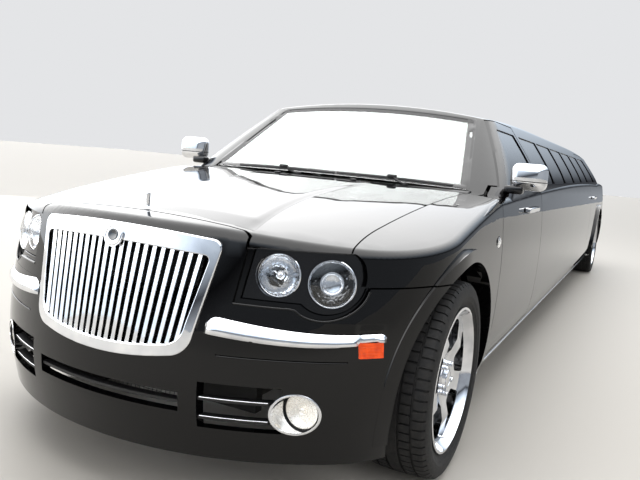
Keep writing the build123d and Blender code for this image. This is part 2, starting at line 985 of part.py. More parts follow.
def tail_lamp_space(side):
    near, far, low, high = tail_lamp_outline
    return block((near, far + 60), (length - 210, length + 60), (low, high), side)


def rear_bumper_space(grow):
    with BuildPart() as space:
        low = 0 if grow else rear_bumper_low
        half = lid_half + grow
        add(block((-wide, wide), (rear_axle + 150, length + 60), (low, rear_bumper_top + grow)))
        add(block((-half, half), (length - 300, length + 60), (400, rear_panel_top - lid_gap)))
    return space.part


with BuildPart() as boot_lid:
    add(deck_outer)
    add(lid_inner, mode=Mode.SUBTRACT)
    add(lid_space(0), mode=Mode.INTERSECT)
write(boot_lid, "boot_lid")

tail_skin = plan_volume(-3) - plan_volume(34)
with BuildPart() as tail_lamps:
    for side in (1, -1):
        add(tail_skin & tail_lamp_space(side))
write(tail_lamps, "tail_lamps")

with BuildPart() as rear_bumper:
    add(lower_shell)
    add(rear_flares)
    add(rear_bumper_space(0), mode=Mode.INTERSECT)
    add(rear_arches, mode=Mode.SUBTRACT)
write(rear_bumper, "rear_bumper")

side_region = block(
    (hood_half_rear + panel_gap, wide), (fender_end + panel_gap, 2200), (sill_bottom, 1200)
) + block((lid_half + panel_gap, wide), (2200, length + 60), (sill_bottom, 1200))

# Hinge posts ahead of the front doors, and the brackets that reach behind all four doors.
# columns: bracket's low edge, reach outwards
hinge_table = ((465, 847.5), (785, 850.9))
hinge_height = 30
pillar_x = (731, 776)

lid_buffer_space = (deck_outer - body_volume(deck_sections, hood_wall + 0.3, shoulder_radius - 14)) & block(
    (600, lid_half + panel_gap), (lid_front + 100, length - 180), (1020, 1200)
)

with BuildPart() as body_side:
    add(lower_shell)
    add(rear_flares)
    add(side_region, mode=Mode.INTERSECT)
    add([door_spaces(1), rear_bumper_space(panel_gap), rear_arches, tail_lamps.part], mode=Mode.SUBTRACT)
    for low, reach in hinge_table:
        levels = (low, low + hinge_height)
        add(block((800, reach + 14), (rear_door_start - 70, rear_door_start - 12), levels))
        add(block((800, reach - 4), (rear_door_start - 70, rear_door_start + 56), levels))
        add(block((800, reach), (rear_door_start + 32, rear_door_start + 56), levels))
    gutter_run = (lid_front + 120, length - 212)
    add(block((610, lid_half + panel_gap + 12), gutter_run, (985, 1000)))
    add(block((lid_half + panel_gap, lid_half + panel_gap + 12), gutter_run, (985, 1060)))
    for place in (lid_front + 170, lid_front + 340):
        add(block((618, 640), (place, place + 30), (1000, 1100)))
    add(lid_buffer_space, mode=Mode.SUBTRACT)
write_pair(body_side, "body_side")

with BuildPart() as hinge_posts:
    for side in (1, -1):
        add(block(pillar_x, (1472, 1538), (sill_bottom + 45, 985), side))
        add(block((pillar_x[0], 840), (1472, 1538), (sill_bottom + 45, sill_bottom + 52), side))
        for low, reach in hinge_table:
            add(block((pillar_x[1] - 4, reach), (1494, 1530), (low, low + hinge_height), side))
    add(lower_shell, mode=Mode.SUBTRACT)
write(hinge_posts, "hinge_posts")

with BuildPart() as rear_deck:
    add(lower_shell)
    deck_run = (deck_start + 60, lid_front - lid_gap)
    add(block((-lid_half, lid_half), deck_run, (900, 1300)), mode=Mode.INTERSECT)
write(rear_deck, "rear_deck")

cowl_half = hood_half_rear + panel_gap
fixed_panes = [side_prism(pane(index), side, 400, wide) for side in (1, -1) for index in range(pane_count)]

with BuildPart() as greenhouse:
    add(house_shell)
    add(block((-cowl_half, cowl_half), (1400, 1560), (900, 1046)), mode=Mode.SUBTRACT)
    add([windscreen_space, backlight_space, *fixed_panes], mode=Mode.SUBTRACT)
    add([door_spaces(1), door_spaces(-1)], mode=Mode.SUBTRACT)
write(greenhouse, "greenhouse")

with BuildPart() as windscreen:
    add(glass_skin)
    add(windscreen_space, mode=Mode.INTERSECT)
write(windscreen, "windscreen")

with BuildPart() as tinted_glass:
    for pane_space in (backlight_space, *fixed_panes):
        add(glass_skin & pane_space)
write(tinted_glass, "tinted_glass")

# Wheels: tyre, then rim with its hub and brake disc in one turning piece
bead_half = 104
flange_radius = 268
rim_fit = 0.3
disc_radius = 165
spoke_count = 5
hub_face = 34


def ring(points, distance, side):
    # a ring about an axle, from a closed outline of offset from the wheel's middle and radius
    centre_x = side * wheel_centre_x
    with BuildPart() as turned:
        centre = (centre_x, back(distance), axle_height)
        with BuildSketch(Plane(origin=centre, x_dir=(side, 0, 0), z_dir=(0, -side, 0))):
            with BuildLine():
                Polyline(points, close=True)
            make_face()
        revolve(axis=Axis((centre_x, back(distance), axle_height), (1, 0, 0)))
    return turned.part


half_tread = 102
sidewall_half = tyre_width / 2
tyre_outline = (
    (bead_half, rim_seat_radius),
    (bead_half, flange_radius + 4),
    (sidewall_half, flange_radius + 44),
    (half_tread, tyre_radius),
    (-half_tread, tyre_radius),
    (-sidewall_half, flange_radius + 44),
    (-bead_half, flange_radius + 4),
    (-bead_half, rim_seat_radius),
)
seat = rim_seat_radius - rim_fit
flange_in = bead_half + rim_fit
barrel_outline = (
    (-112, flange_radius),
    (-flange_in, flange_radius),
    (-flange_in, seat),
    (flange_in, seat),
    (flange_in, flange_radius),
    (113, flange_radius),
    (114, 259),
    (92, 249),
    (76, 238),
    (40, 236),
    (-flange_in, 244),
    (-112, 258),
)
face_outline = (
    (86, 0),
    (86, 34),
    (76, 42),
    (74, 78),
    (92, 150),
    (80, 240),
    (46, 240),
    (64, 150),
    (30, 66),
    (-10, 66),
    (-10, disc_radius),
    (-hub_face, disc_radius),
    (-hub_face, 0),
)


def window_sketch():
    # one opening between two spokes, in the plane of the wheel
    with BuildSketch() as opening:
        with BuildLine():
            Polyline(
                (104 * cos(radians(17)), -104 * sin(radians(17))),
                (224 * cos(radians(25)), -224 * sin(radians(25))),
                (228, 0),
                (224 * cos(radians(25)), 224 * sin(radians(25))),
                (104 * cos(radians(17)), 104 * sin(radians(17))),
                close=True,
            )
        make_face()
        fillet(opening.vertices(), 16)
    return opening.sketch


def rim(distance, side):
    with BuildPart() as piece:
        add(ring(face_outline, distance, side))
        centre = (side * wheel_centre_x, back(distance), axle_height)
        with BuildSketch(Plane(origin=centre, x_dir=(0, 0, 1), z_dir=(side, 0, 0))):
            with PolarLocations(0, spoke_count):
                add(window_sketch())
        extrude(amount=140, mode=Mode.SUBTRACT)
        add(ring(barrel_outline, distance, side))
    return piece


for end_name, distance in (("front", front_axle), ("rear", rear_axle)):
    for side_name, side in (("left", 1), ("right", -1)):
        with BuildPart() as tyre:
            add(ring(tyre_outline, distance, side))
        write(tyre, end_name + "_tyre_" + side_name)
        write(rim(distance, side), end_name + "_rim_" + side_name)

# Front knuckles: hub carrier, upright and steering arm
hub_radius = 62
joint_fit = 0.3
lower_joint = 200
upper_joint = 545
knuckle_in = 706
steer_x = 735
stud_radius = 17
stud_length = 26
hub_end = wheel_centre_x - hub_face - joint_fit

with BuildPart() as front_knuckle:
    add(cross_cylinder(front_axle, axle_height, hub_radius, knuckle_in, hub_end))
    levels = (lower_joint + stud_length, upper_joint - stud_length)
    add(block((knuckle_in, 752), (front_axle - 38, front_axle + 38), levels))
    with BuildSketch(Plane.XY.offset(lower_joint)):
        with Locations((steer_x, back(front_axle))):
            Circle(stud_radius)
    extrude(amount=upper_joint - lower_joint)
    add(block((knuckle_in, 730), (front_axle + 20, front_axle + 150), (292, 318)))
write_pair(front_knuckle, "front_knuckle")


# Rear axle: hubs, half shafts, final drive, cross member, and the propeller shaft to it
floor_low = 250
floor_wall = 30
kick_height = 505
final_drive_radius = 118
shaft_radius = 19
pipe_radius = 32
pipe_height = 212
gearbox_end = 1420
hanger_places = (2700, 4300, 5900)


def long_cylinder(x, height, radius, start, end):
    # a round bar along the car
    with BuildPart() as bar:
        with BuildSketch(Plane.XZ.offset(-back(start))):
            with Locations((x, height)):
                Circle(radius)
        extrude(amount=start - end)
    return bar.part


with BuildPart() as rear_suspension:
    add(cross_cylinder(rear_axle, axle_height, shaft_radius, -hub_end, hub_end))
    for side in (1, -1):
        near, far = sorted((side * knuckle_in, side * hub_end))
        add(cross_cylinder(rear_axle, axle_height, hub_radius, near, far))
        add(block((590, 720), (rear_axle - 36, rear_axle + 36), (axle_height - 30, axle_height + 30), side))
        add(block((560, 600), (rear_axle - 36, rear_axle + 36), (axle_height - 30, kick_height), side))
    add(cross_cylinder(rear_axle, axle_height, final_drive_radius, -120, 120))
    add(block((-600, 600), (rear_axle - 50, rear_axle + 50), (kick_height - 50, kick_height)))
    add(block((-60, 60), (rear_axle - 50, rear_axle + 50), (axle_height, kick_height)))
    add(block((-50, 50), (rear_axle - 200, rear_axle - 60), (pipe_height - 34, axle_height)))
    add(long_cylinder(0, pipe_height, pipe_radius, gearbox_end, rear_axle - 190))
    for place in hanger_places:
        add(block((-60, 60), (place - 25, place + 25), (pipe_height - 10, floor_low)))
write(rear_suspension, "rear_suspension")

# Floor: two long rails under a pan that kicks up over the rear axle
rail_low = 205
rail_half = (420, 470)
firewall = 1435
liner_inner = 446
liner_wall = 6
liner_near = 490
liner_far = 816
floor_half = 790
floor_edge = 811
floor_points = (
    (firewall + 20, floor_low),
    (rear_axle - 520, floor_low),
    (rear_axle - 400, kick_height),
    (rear_axle + 330, kick_height),
    (rear_axle + 420, 370),
    (length - 130, 370),
    (length - 130, 400),
    (rear_axle + 440, 400),
    (rear_axle + 350, kick_height + floor_wall),
    (rear_axle - 420, kick_height + floor_wall),
    (rear_axle - 540, floor_low + floor_wall),
    (firewall + 20, floor_low + floor_wall),
)


def wheel_liner(distance):
    with BuildPart() as liner:
        for near in (liner_near, -liner_far):
            with BuildSketch(Plane.YZ.offset(near)):
                with Locations((back(distance), axle_height)):
                    Circle(liner_inner + liner_wall)
                    Circle(liner_inner, mode=Mode.SUBTRACT)
            extrude(amount=liner_far - liner_near)
        add(block((-wide, wide), (0, length), (-200, axle_height - 60)), mode=Mode.SUBTRACT)
    return liner.part


def wheel_wells(distance):
    starts = (liner_near, -liner_near - 520)
    return [cross_cylinder(distance, axle_height, liner_inner, near, near + 520) for near in starts]


with BuildPart() as floor_pan:
    add(side_prism(floor_points, 1, -floor_half, floor_half))
    add(wheel_wells(rear_axle), mode=Mode.SUBTRACT)
    add(wheel_liner(rear_axle))
    well_run = (rear_axle - liner_inner, rear_axle + liner_inner)
    for side in (1, -1):
        add(block((liner_near - 8, liner_near), well_run, (404, 700), side))
        add(block(rail_half, (firewall + 20, rear_axle - 520), (rail_low, floor_low), side))
        edge_run = (fender_end + 40, rear_axle - 560)
        add(block((floor_half, floor_edge), edge_run, (floor_low, floor_low + floor_wall), side))
    add([rear_suspension.part, rear_bumper.part], mode=Mode.SUBTRACT)
write(floor_pan, "floor_pan")

# Front structure: firewall, rails, wheel liners, fender rails, bumper beam and lamp carrier
cowl_low = 940
beam_inset = 46
carrier_inset = bezel_setback + 46 + 0.3
front_core = body_volume(hood_sections, fender_wall + 0.3, shoulder_radius - 22)


def lamp_holes():
    holes = []
    for side in (1, -1):
        for place in lamp_table:
            with BuildPart() as hole:
                with BuildSketch(lamp_plane(side, place).offset(90)):
                    Circle(place[3] + 1)
                extrude(amount=-260)
            holes.append(hole.part)
    return holes


with BuildPart() as front_structure:
    add(wheel_liner(front_axle))
    for side in (1, -1):
        add(block((735, 800), (560, firewall), (800, 1000), side))
    add(front_core, mode=Mode.INTERSECT)
    add(front_flares, mode=Mode.SUBTRACT)
    add(block((-800, 800), (firewall, firewall + 20), (floor_low, cowl_low)))
    for side in (1, -1):
        add(block((liner_near - 8, liner_near), (front_axle - 430, firewall), (330, 720), side))
        add(block((rail_half[0], liner_near), (180, firewall), (430, 510), side))
        add(block((330, 752), (front_axle - 30, front_axle + 30), (172, lower_joint - joint_fit), side))
        arm_run = (front_axle - 30, front_axle + 30)
        add(block((liner_near - 8, 752), arm_run, (upper_joint + joint_fit, 572), side))
        add(block(rail_half, (front_axle - 40, front_axle + 40), (200, 440), side))
        add(block((380, lamp_inner - 0.3), (190, 270), (700, 740), side))
    add(block((-rail_half[1], rail_half[1]), (front_axle - 60, front_axle + 60), (180, 240)))
    add(block((-430, 430), (262, 300), (300, 790)))
    add(nose_band(-beam_inset, beam_inset + 46) & block((-700, 700), (0, 400), (440, 530)))
    carrier = nose_band(-carrier_inset, carrier_inset + 30) & block((-740, 740), (0, 470), (690, 800))
    for hole in lamp_holes():
        carrier = carrier - hole
    add(carrier)
write(front_structure, "front_structure")

with BuildPart() as engine_block:
    add(block((-280, 280), (560, 1240), (240, 800)))
    add(block((-80, 80), (1240, gearbox_end), (pipe_height - 36, 400)))
write(engine_block, "engine_block")

# Exhaust: two pipes under the floor, mufflers behind the axle, and tail pipes
muffler_x = 380
muffler_start = rear_axle + 560
tail_pipe_x = 500
with BuildPart() as exhaust:
    for side in (1, -1):
        add(long_cylinder(side * 250, pipe_height, pipe_radius, 1240, muffler_start - joint_fit))
        with BuildSketch(Plane.XZ.offset(-back(muffler_start))):
            with Locations((side * muffler_x, 270)):
                Ellipse(200, 56)
        extrude(amount=-300)
        add(long_cylinder(side * tail_pipe_x, 226, 26, rear_axle + 850, length - 20))
        for place in hanger_places:
            add(block((260, rail_half[0]), (place - 15, place + 15), (222, 234), side))
write(exhaust, "exhaust")

# Cowl trough behind the hood, and the two wipers that rest in front of the windscreen
cowl_points = (
    (firewall - 10, cowl_low),
    (firewall - 10, cowl_low + 35),
    (1458, cowl_low + 35),
    (1466, 992),
    (1492, 1026),
    (1530, 1032),
    (1530, 1000),
    (1478, cowl_low),
)
with BuildPart() as cowl:
    add(side_prism(cowl_points, 1, 0.3 - cowl_half, cowl_half - 0.3))
    for side in (1, -1):
        for near in (barrel_x[0] - ear_gap - ear_width, barrel_x[1] + ear_gap):
            ear_run = (hood_hinge[0] - 9, hood_hinge[0] + 9)
            add(block((near, near + ear_width), ear_run, (cowl_low, hood_hinge[1] + 6), side))
write(cowl, "cowl")

wiper_lift = 13
# columns: X at the foot and at the blade's two ends, and the two heights on the glass
wiper_table = (
    (430, 640, 70, 1062, 1078),
    (-140, 60, -520, 1066, 1082),
)


def screen_point(x, height, lift):
    # a point in front of the windscreen, on the glass's slope
    place = 1352 + 1.536 * (height - 960) + x * x / (2 * screen_radius)
    return place - 0.546 * lift, height + 0.838 * lift


def bar_between(first, second, width, depth):
    # a straight bar across the car between two points of X, distance behind the nose and height
    with BuildPart() as bar:
        for x, distance, height in (first, second):
            with BuildSketch(Plane.YZ.offset(x)):
                with Locations((back(distance), height)):
                    Rectangle(width, depth)
        loft(ruled=True)
    return bar.part


with BuildPart() as wipers:
    for foot_x, near, far, near_height, far_height in wiper_table:
        ends = [
            (near, *screen_point(near, near_height, wiper_lift)),
            (far, *screen_point(far, far_height, wiper_lift)),
        ]
        middle_x = (near + far) / 2
        middle = (middle_x, (ends[0][1] + ends[1][1]) / 2, (ends[0][2] + ends[1][2]) / 2)
        foot = (foot_x, 1496, 1046)
        middle = (middle[0], middle[1] - 8, middle[2] + 8)
        add(bar_between(ends[0], ends[1], 12, 12))
        add(bar_between(foot, middle, 14, 10))
        with BuildSketch(Plane.XY.offset(1010)):
            with Locations((foot_x, back(1496))):
                Circle(11)
        extrude(amount=42)
    add([cowl.part, windscreen.part], mode=Mode.SUBTRACT)
write(wipers, "wipers")

# Door trims: mirrors and handles that ride on the doors
mirror_x = (872, 1035)
mirror_z = (1062, 1172)
mirror_y = (1640, 1728)
handle_z = (936, 962)
handle_length = 310
front_handle = 2018
rear_handle = rear_door_start + 90

with BuildPart() as front_door_trim:
    with BuildSketch(Plane.XZ.offset(-back(mirror_y[0]))):
        with Locations(((mirror_x[0] + mirror_x[1]) / 2, (mirror_z[0] + mirror_z[1]) / 2)):
            RectangleRounded(mirror_x[1] - mirror_x[0], mirror_z[1] - mirror_z[0], 38)
    extrude(amount=mirror_y[0] - mirror_y[1], taper=6)
    add(block((850, 930), (1664, 1716), (1040, 1076)))
    add(block((880, 931), (front_handle, front_handle + handle_length), handle_z))
    add(front_door.part, mode=Mode.SUBTRACT)
    add(block((0, 862), (0, length), (0, 1035)), mode=Mode.SUBTRACT)
write_pair(front_door_trim, "front_door_trim")

with BuildPart() as rear_door_trim:
    add(block((880, 931), (rear_handle, rear_handle + handle_length), handle_z))
    add(rear_door.part, mode=Mode.SUBTRACT)
    add(block((0, 862), (0, length), (0, 1035)), mode=Mode.SUBTRACT)
write_pair(rear_door_trim, "rear_door_trim")

# Cabin: dashboard, steering wheel, seats, partition and bar
floor_top = floor_low + floor_wall
wheel_x = -370
steering_centre = (1985, 905)
steering_tilt = 24
steering_radius = 188
partition_place = 3000

with BuildPart() as dashboard:
    add(side_prism(((1548, 700), (1548, 985), (1780, 1000), (1850, 930), (1830, 740)), 1, -780, 780))
    add(lower_shell, mode=Mode.SUBTRACT)
    add(block((-110, 110), (1560, 2050), (floor_top, 720)))
    column_plane = Plane(
        origin=Vector(wheel_x, back(steering_centre[0]), steering_centre[1]),
        x_dir=(1, 0, 0),
        z_dir=(0, -cos(radians(steering_tilt)), -sin(radians(steering_tilt))),
    )
    with BuildSketch(column_plane.offset(30)):
        Circle(34)
    extrude(amount=200)
write(dashboard, "dashboard")

with BuildPart() as steering_wheel:
    with BuildSketch(column_plane):
        Circle(steering_radius)
        Circle(steering_radius - 26, mode=Mode.SUBTRACT)
    extrude(amount=13, both=True)
    with BuildSketch(column_plane):
        Circle(62)
        with Locations((100, 0), (-100, 0)):
            Rectangle(140, 34)
        with Locations((0, -100)):
            Rectangle(34, 140)
    extrude(amount=9, both=True)
    with BuildSketch(column_plane):
        Circle(30)
    extrude(amount=29.7)
write(steering_wheel, "steering_wheel")


def seat(half_range, start, side):
    # cushion, leaning back rest and base of one seat that faces forwards
    with BuildPart() as chair:
        add(block(half_range, (start, start + 500), (floor_top + 40, 470), side))
        base_range = (half_range[0] + 60, half_range[1] - 60)
        add(block(base_range, (start + 40, start + 460), (floor_top, 330), side))
        near, far = half_range
        outline = (
            (start + 400, 400),
            (start + 500, 400),
            (start + 650, 1080),
            (start + 560, 1080),
            (start + 430, 480),
        )
        add(side_prism(outline, side, near, far))
    return chair.part


with BuildPart() as front_seats:
    for side in (1, -1):
        add(seat((120, 620), 2230, side))
write(front_seats, "front_seats")

with BuildPart() as partition:
    with BuildSketch(Plane.XZ.offset(-back(partition_place))):
        with BuildLine():
            Polyline(
                (-800, floor_top),
                (800, floor_top),
                (800, 1040),
                (760, 1100),
                (690, 1240),
                (600, 1370),
                (400, 1418),
                (-400, 1418),
                (-600, 1370),
                (-690, 1240),
                (-760, 1100),
                (-800, 1040),
                close=True,
            )
        make_face()
        with Locations((0, 1210)):
            Rectangle(900, 260, mode=Mode.SUBTRACT)
    extrude(amount=-40)
write(partition, "partition")

with BuildPart() as bar_cabinet:
    add(block((480, 790), (partition_place + 300, 5900), (floor_top, 800)))
write(bar_cabinet, "bar_cabinet")

with BuildPart() as lounge_seats:
    add(block((-780, -280), (partition_place + 300, 6120), (floor_top, 460)))
    add(block((-800, -680), (partition_place + 300, 6120), (460, 940)))
    add(block((-700, 700), (6330, 6920), (floor_top, 460)))
    add(side_prism(((6800, 460), (6900, 460), (7040, 1060), (6950, 1060)), 1, -700, 700))
write(lounge_seats, "lounge_seats")
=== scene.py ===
# Stretch limousine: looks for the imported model, in metres, nose towards -Y
import json
from math import atan2, cos, hypot, pi, radians, sin

import bpy
from mathutils import Matrix, Vector

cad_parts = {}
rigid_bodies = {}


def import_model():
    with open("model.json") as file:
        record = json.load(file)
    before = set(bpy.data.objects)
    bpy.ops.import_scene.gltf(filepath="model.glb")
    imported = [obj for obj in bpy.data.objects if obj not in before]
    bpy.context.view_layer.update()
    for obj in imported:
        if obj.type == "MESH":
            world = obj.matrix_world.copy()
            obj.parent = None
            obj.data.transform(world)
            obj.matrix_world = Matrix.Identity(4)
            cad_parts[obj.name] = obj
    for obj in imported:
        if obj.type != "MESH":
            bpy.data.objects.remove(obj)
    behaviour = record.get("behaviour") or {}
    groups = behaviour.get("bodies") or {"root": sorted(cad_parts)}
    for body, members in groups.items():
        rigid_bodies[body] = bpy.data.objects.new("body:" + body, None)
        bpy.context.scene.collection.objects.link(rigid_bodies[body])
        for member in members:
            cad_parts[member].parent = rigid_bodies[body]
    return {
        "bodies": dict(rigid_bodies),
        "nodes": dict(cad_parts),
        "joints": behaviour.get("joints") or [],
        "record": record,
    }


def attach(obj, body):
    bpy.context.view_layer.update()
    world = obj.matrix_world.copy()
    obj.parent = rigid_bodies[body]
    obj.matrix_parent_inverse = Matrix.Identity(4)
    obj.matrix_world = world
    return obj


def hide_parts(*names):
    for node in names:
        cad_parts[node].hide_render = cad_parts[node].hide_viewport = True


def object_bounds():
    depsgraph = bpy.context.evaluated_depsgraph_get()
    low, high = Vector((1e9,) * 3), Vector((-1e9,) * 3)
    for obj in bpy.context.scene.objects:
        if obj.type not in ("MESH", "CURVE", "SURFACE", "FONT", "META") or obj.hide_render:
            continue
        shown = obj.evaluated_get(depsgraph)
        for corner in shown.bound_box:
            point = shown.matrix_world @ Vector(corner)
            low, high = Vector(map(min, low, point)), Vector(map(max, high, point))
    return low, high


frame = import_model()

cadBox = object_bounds()
nodeBody = {node: body for body, group in frame["record"]["behaviour"]["bodies"].items() for node in group}
noseY = -4.2775
print("frame loaded:", len(frame["nodes"]), "nodes")


def behind(distance):
    # Y of a place a number of millimetres behind the nose
    return noseY + distance / 1000


# Materials


def linear(code, alpha=1.0):
    # sRGB hex to linear colour
    values = [int(code[i:i + 2], 16) / 255 for i in (0, 2, 4)]
    return [v / 12.92 if v <= 0.04045 else ((v + 0.055) / 1.055) ** 2.4 for v in values] + [alpha]


def addNode(material, kind, settings=None, links=None):
    # one node with its settings, and its inputs linked from other sockets
    tree = material.node_tree
    node = tree.nodes.new(kind)
    for name, value in (settings or {}).items():
        if name in node.inputs:
            node.inputs[name].default_value = value
        else:
            setattr(node, name, value)
    for name, source in (links or {}).items():
        tree.links.new(source, node.inputs[name])
    return node


def startMaterial(name, shaderSettings):
    # a material with its shader, and object coordinates in metres to drive patterns
    material = bpy.data.materials.new(name)
    material.use_nodes = True
    material.node_tree.nodes.clear()
    shader = addNode(material, "ShaderNodeBsdfPrincipled", shaderSettings)
    addNode(material, "ShaderNodeOutputMaterial", {}, {"Surface": shader.outputs[0]})
    place = addNode(material, "ShaderNodeTexCoord")
    return material, shader, place.outputs["Object"]


def speckle(material, shader, place, sizeMm, low, high, detail=3.0, socket="Roughness"):
    # noise of a real size that varies one value of the shader
    noise = addNode(
        material, "ShaderNodeTexNoise", {"Scale": 1000 / sizeMm, "Detail": detail}, {"Vector": place}
    )
    spread = addNode(
        material, "ShaderNodeMapRange", {"To Min": low, "To Max": high}, {"Value": noise.outputs["Fac"]}
    )
    material.node_tree.links.new(spread.outputs["Result"], shader.inputs[socket])
    return noise


def tintSpread(material, shader, place, sizeMm, dark, light, detail=4.0):
    # a slow change of colour across the surface
    noise = addNode(
        material, "ShaderNodeTexNoise", {"Scale": 1000 / sizeMm, "Detail": detail}, {"Vector": place}
    )
    ramp = addNode(material, "ShaderNodeValToRGB", {}, {"Fac": noise.outputs["Fac"]})
    ramp.color_ramp.elements[0].position = 0.35
    ramp.color_ramp.elements[0].color = linear(dark)
    ramp.color_ramp.elements[1].position = 0.68
    ramp.color_ramp.elements[1].color = linear(light)
    material.node_tree.links.new(ramp.outputs["Color"], shader.inputs["Base Color"])
    return ramp


def grainBump(
    material, shader, place, sizeMm, depthMm, strength=0.5, detail=2.0, kind="ShaderNodeTexNoise"
):
    # relief of a real size on the normal
    texture = addNode(material, kind, {"Scale": 1000 / sizeMm}, {"Vector": place})
    if "Detail" in texture.inputs:
        texture.inputs["Detail"].default_value = detail
    bump = addNode(
        material,
        "ShaderNodeBump",
        {"Strength": strength, "Distance": depthMm / 1000},
        {"Height": texture.outputs[0]},
    )
    material.node_tree.links.new(bump.outputs["Normal"], shader.inputs["Normal"])
    return bump


def makeMaterial(name, settings, gloss, tint=None, grain=None):
    # a material whose gloss, colour and relief change over real sizes, given in millimetres
    material, shader, place = startMaterial(name, settings)
    if tint:
        tintSpread(material, shader, place, *tint)
    speckle(material, shader, place, *gloss)
    if grain:
        grainBump(material, shader, place, *grain)
    return material


def makeLensColour(name, dark, light, glow):
    # pigmented acrylic lens with fine moulded ribs
    material, shader, place = startMaterial(
        name, {
            "Transmission Weight": 0.35,
            "IOR": 1.49,
            "Emission Color": linear(light),
            "Emission Strength": glow,
        }
    )
    tintSpread(material, shader, place, 30, dark, light)
    speckle(material, shader, place, 30, 0.06, 0.14)
    wave = addNode(
        material, "ShaderNodeTexWave", {"Scale": 32.0, "bands_direction": "Z"}, {"Vector": place}
    )
    bump = addNode(
        material, "ShaderNodeBump", {"Strength": 0.5, "Distance": 0.0012}, {"Height": wave.outputs["Fac"]}
    )
    material.node_tree.links.new(bump.outputs["Normal"], shader.inputs["Normal"])
    return material


def makeWood():
    # lacquered dark veneer, grain along the car
    material, shader, place = startMaterial(
        "lacqueredVeneer", {"Coat Weight": 0.8, "Coat Roughness": 0.06, "IOR": 1.5}
    )
    stretch = addNode(material, "ShaderNodeMapping", {"Scale": (1.0, 0.06, 1.0)}, {"Vector": place})
    tintSpread(material, shader, stretch.outputs[0], 14, "2A130A", "5A2D17", 6)
    speckle(material, shader, place, 20, 0.3, 0.45)
    return material


def paneGlass(colour, weight, coat):
    # float glass in a thin pane, tinted in the melt, with a sun-reflecting coat where the pane has one
    return {
        "Base Color": linear(colour),
        "Transmission Weight": weight,
        "IOR": 1.52,
        "Coat Weight": coat,
        "Coat IOR": 1.8,
        "Coat Roughness": 0.01,
    }


def milkyCoat(glow):
    # satin aluminium coat over moulded ribs, milky behind a lens
    return {"Metallic": 0.55, "IOR": 1.5, "Emission Color": linear("FFF3DF"), "Emission Strength": glow}


bareMetal = {"Metallic": 1.0}
mouldedPlastic = {"IOR": 1.48}
pebbles = "ShaderNodeTexVoronoi"

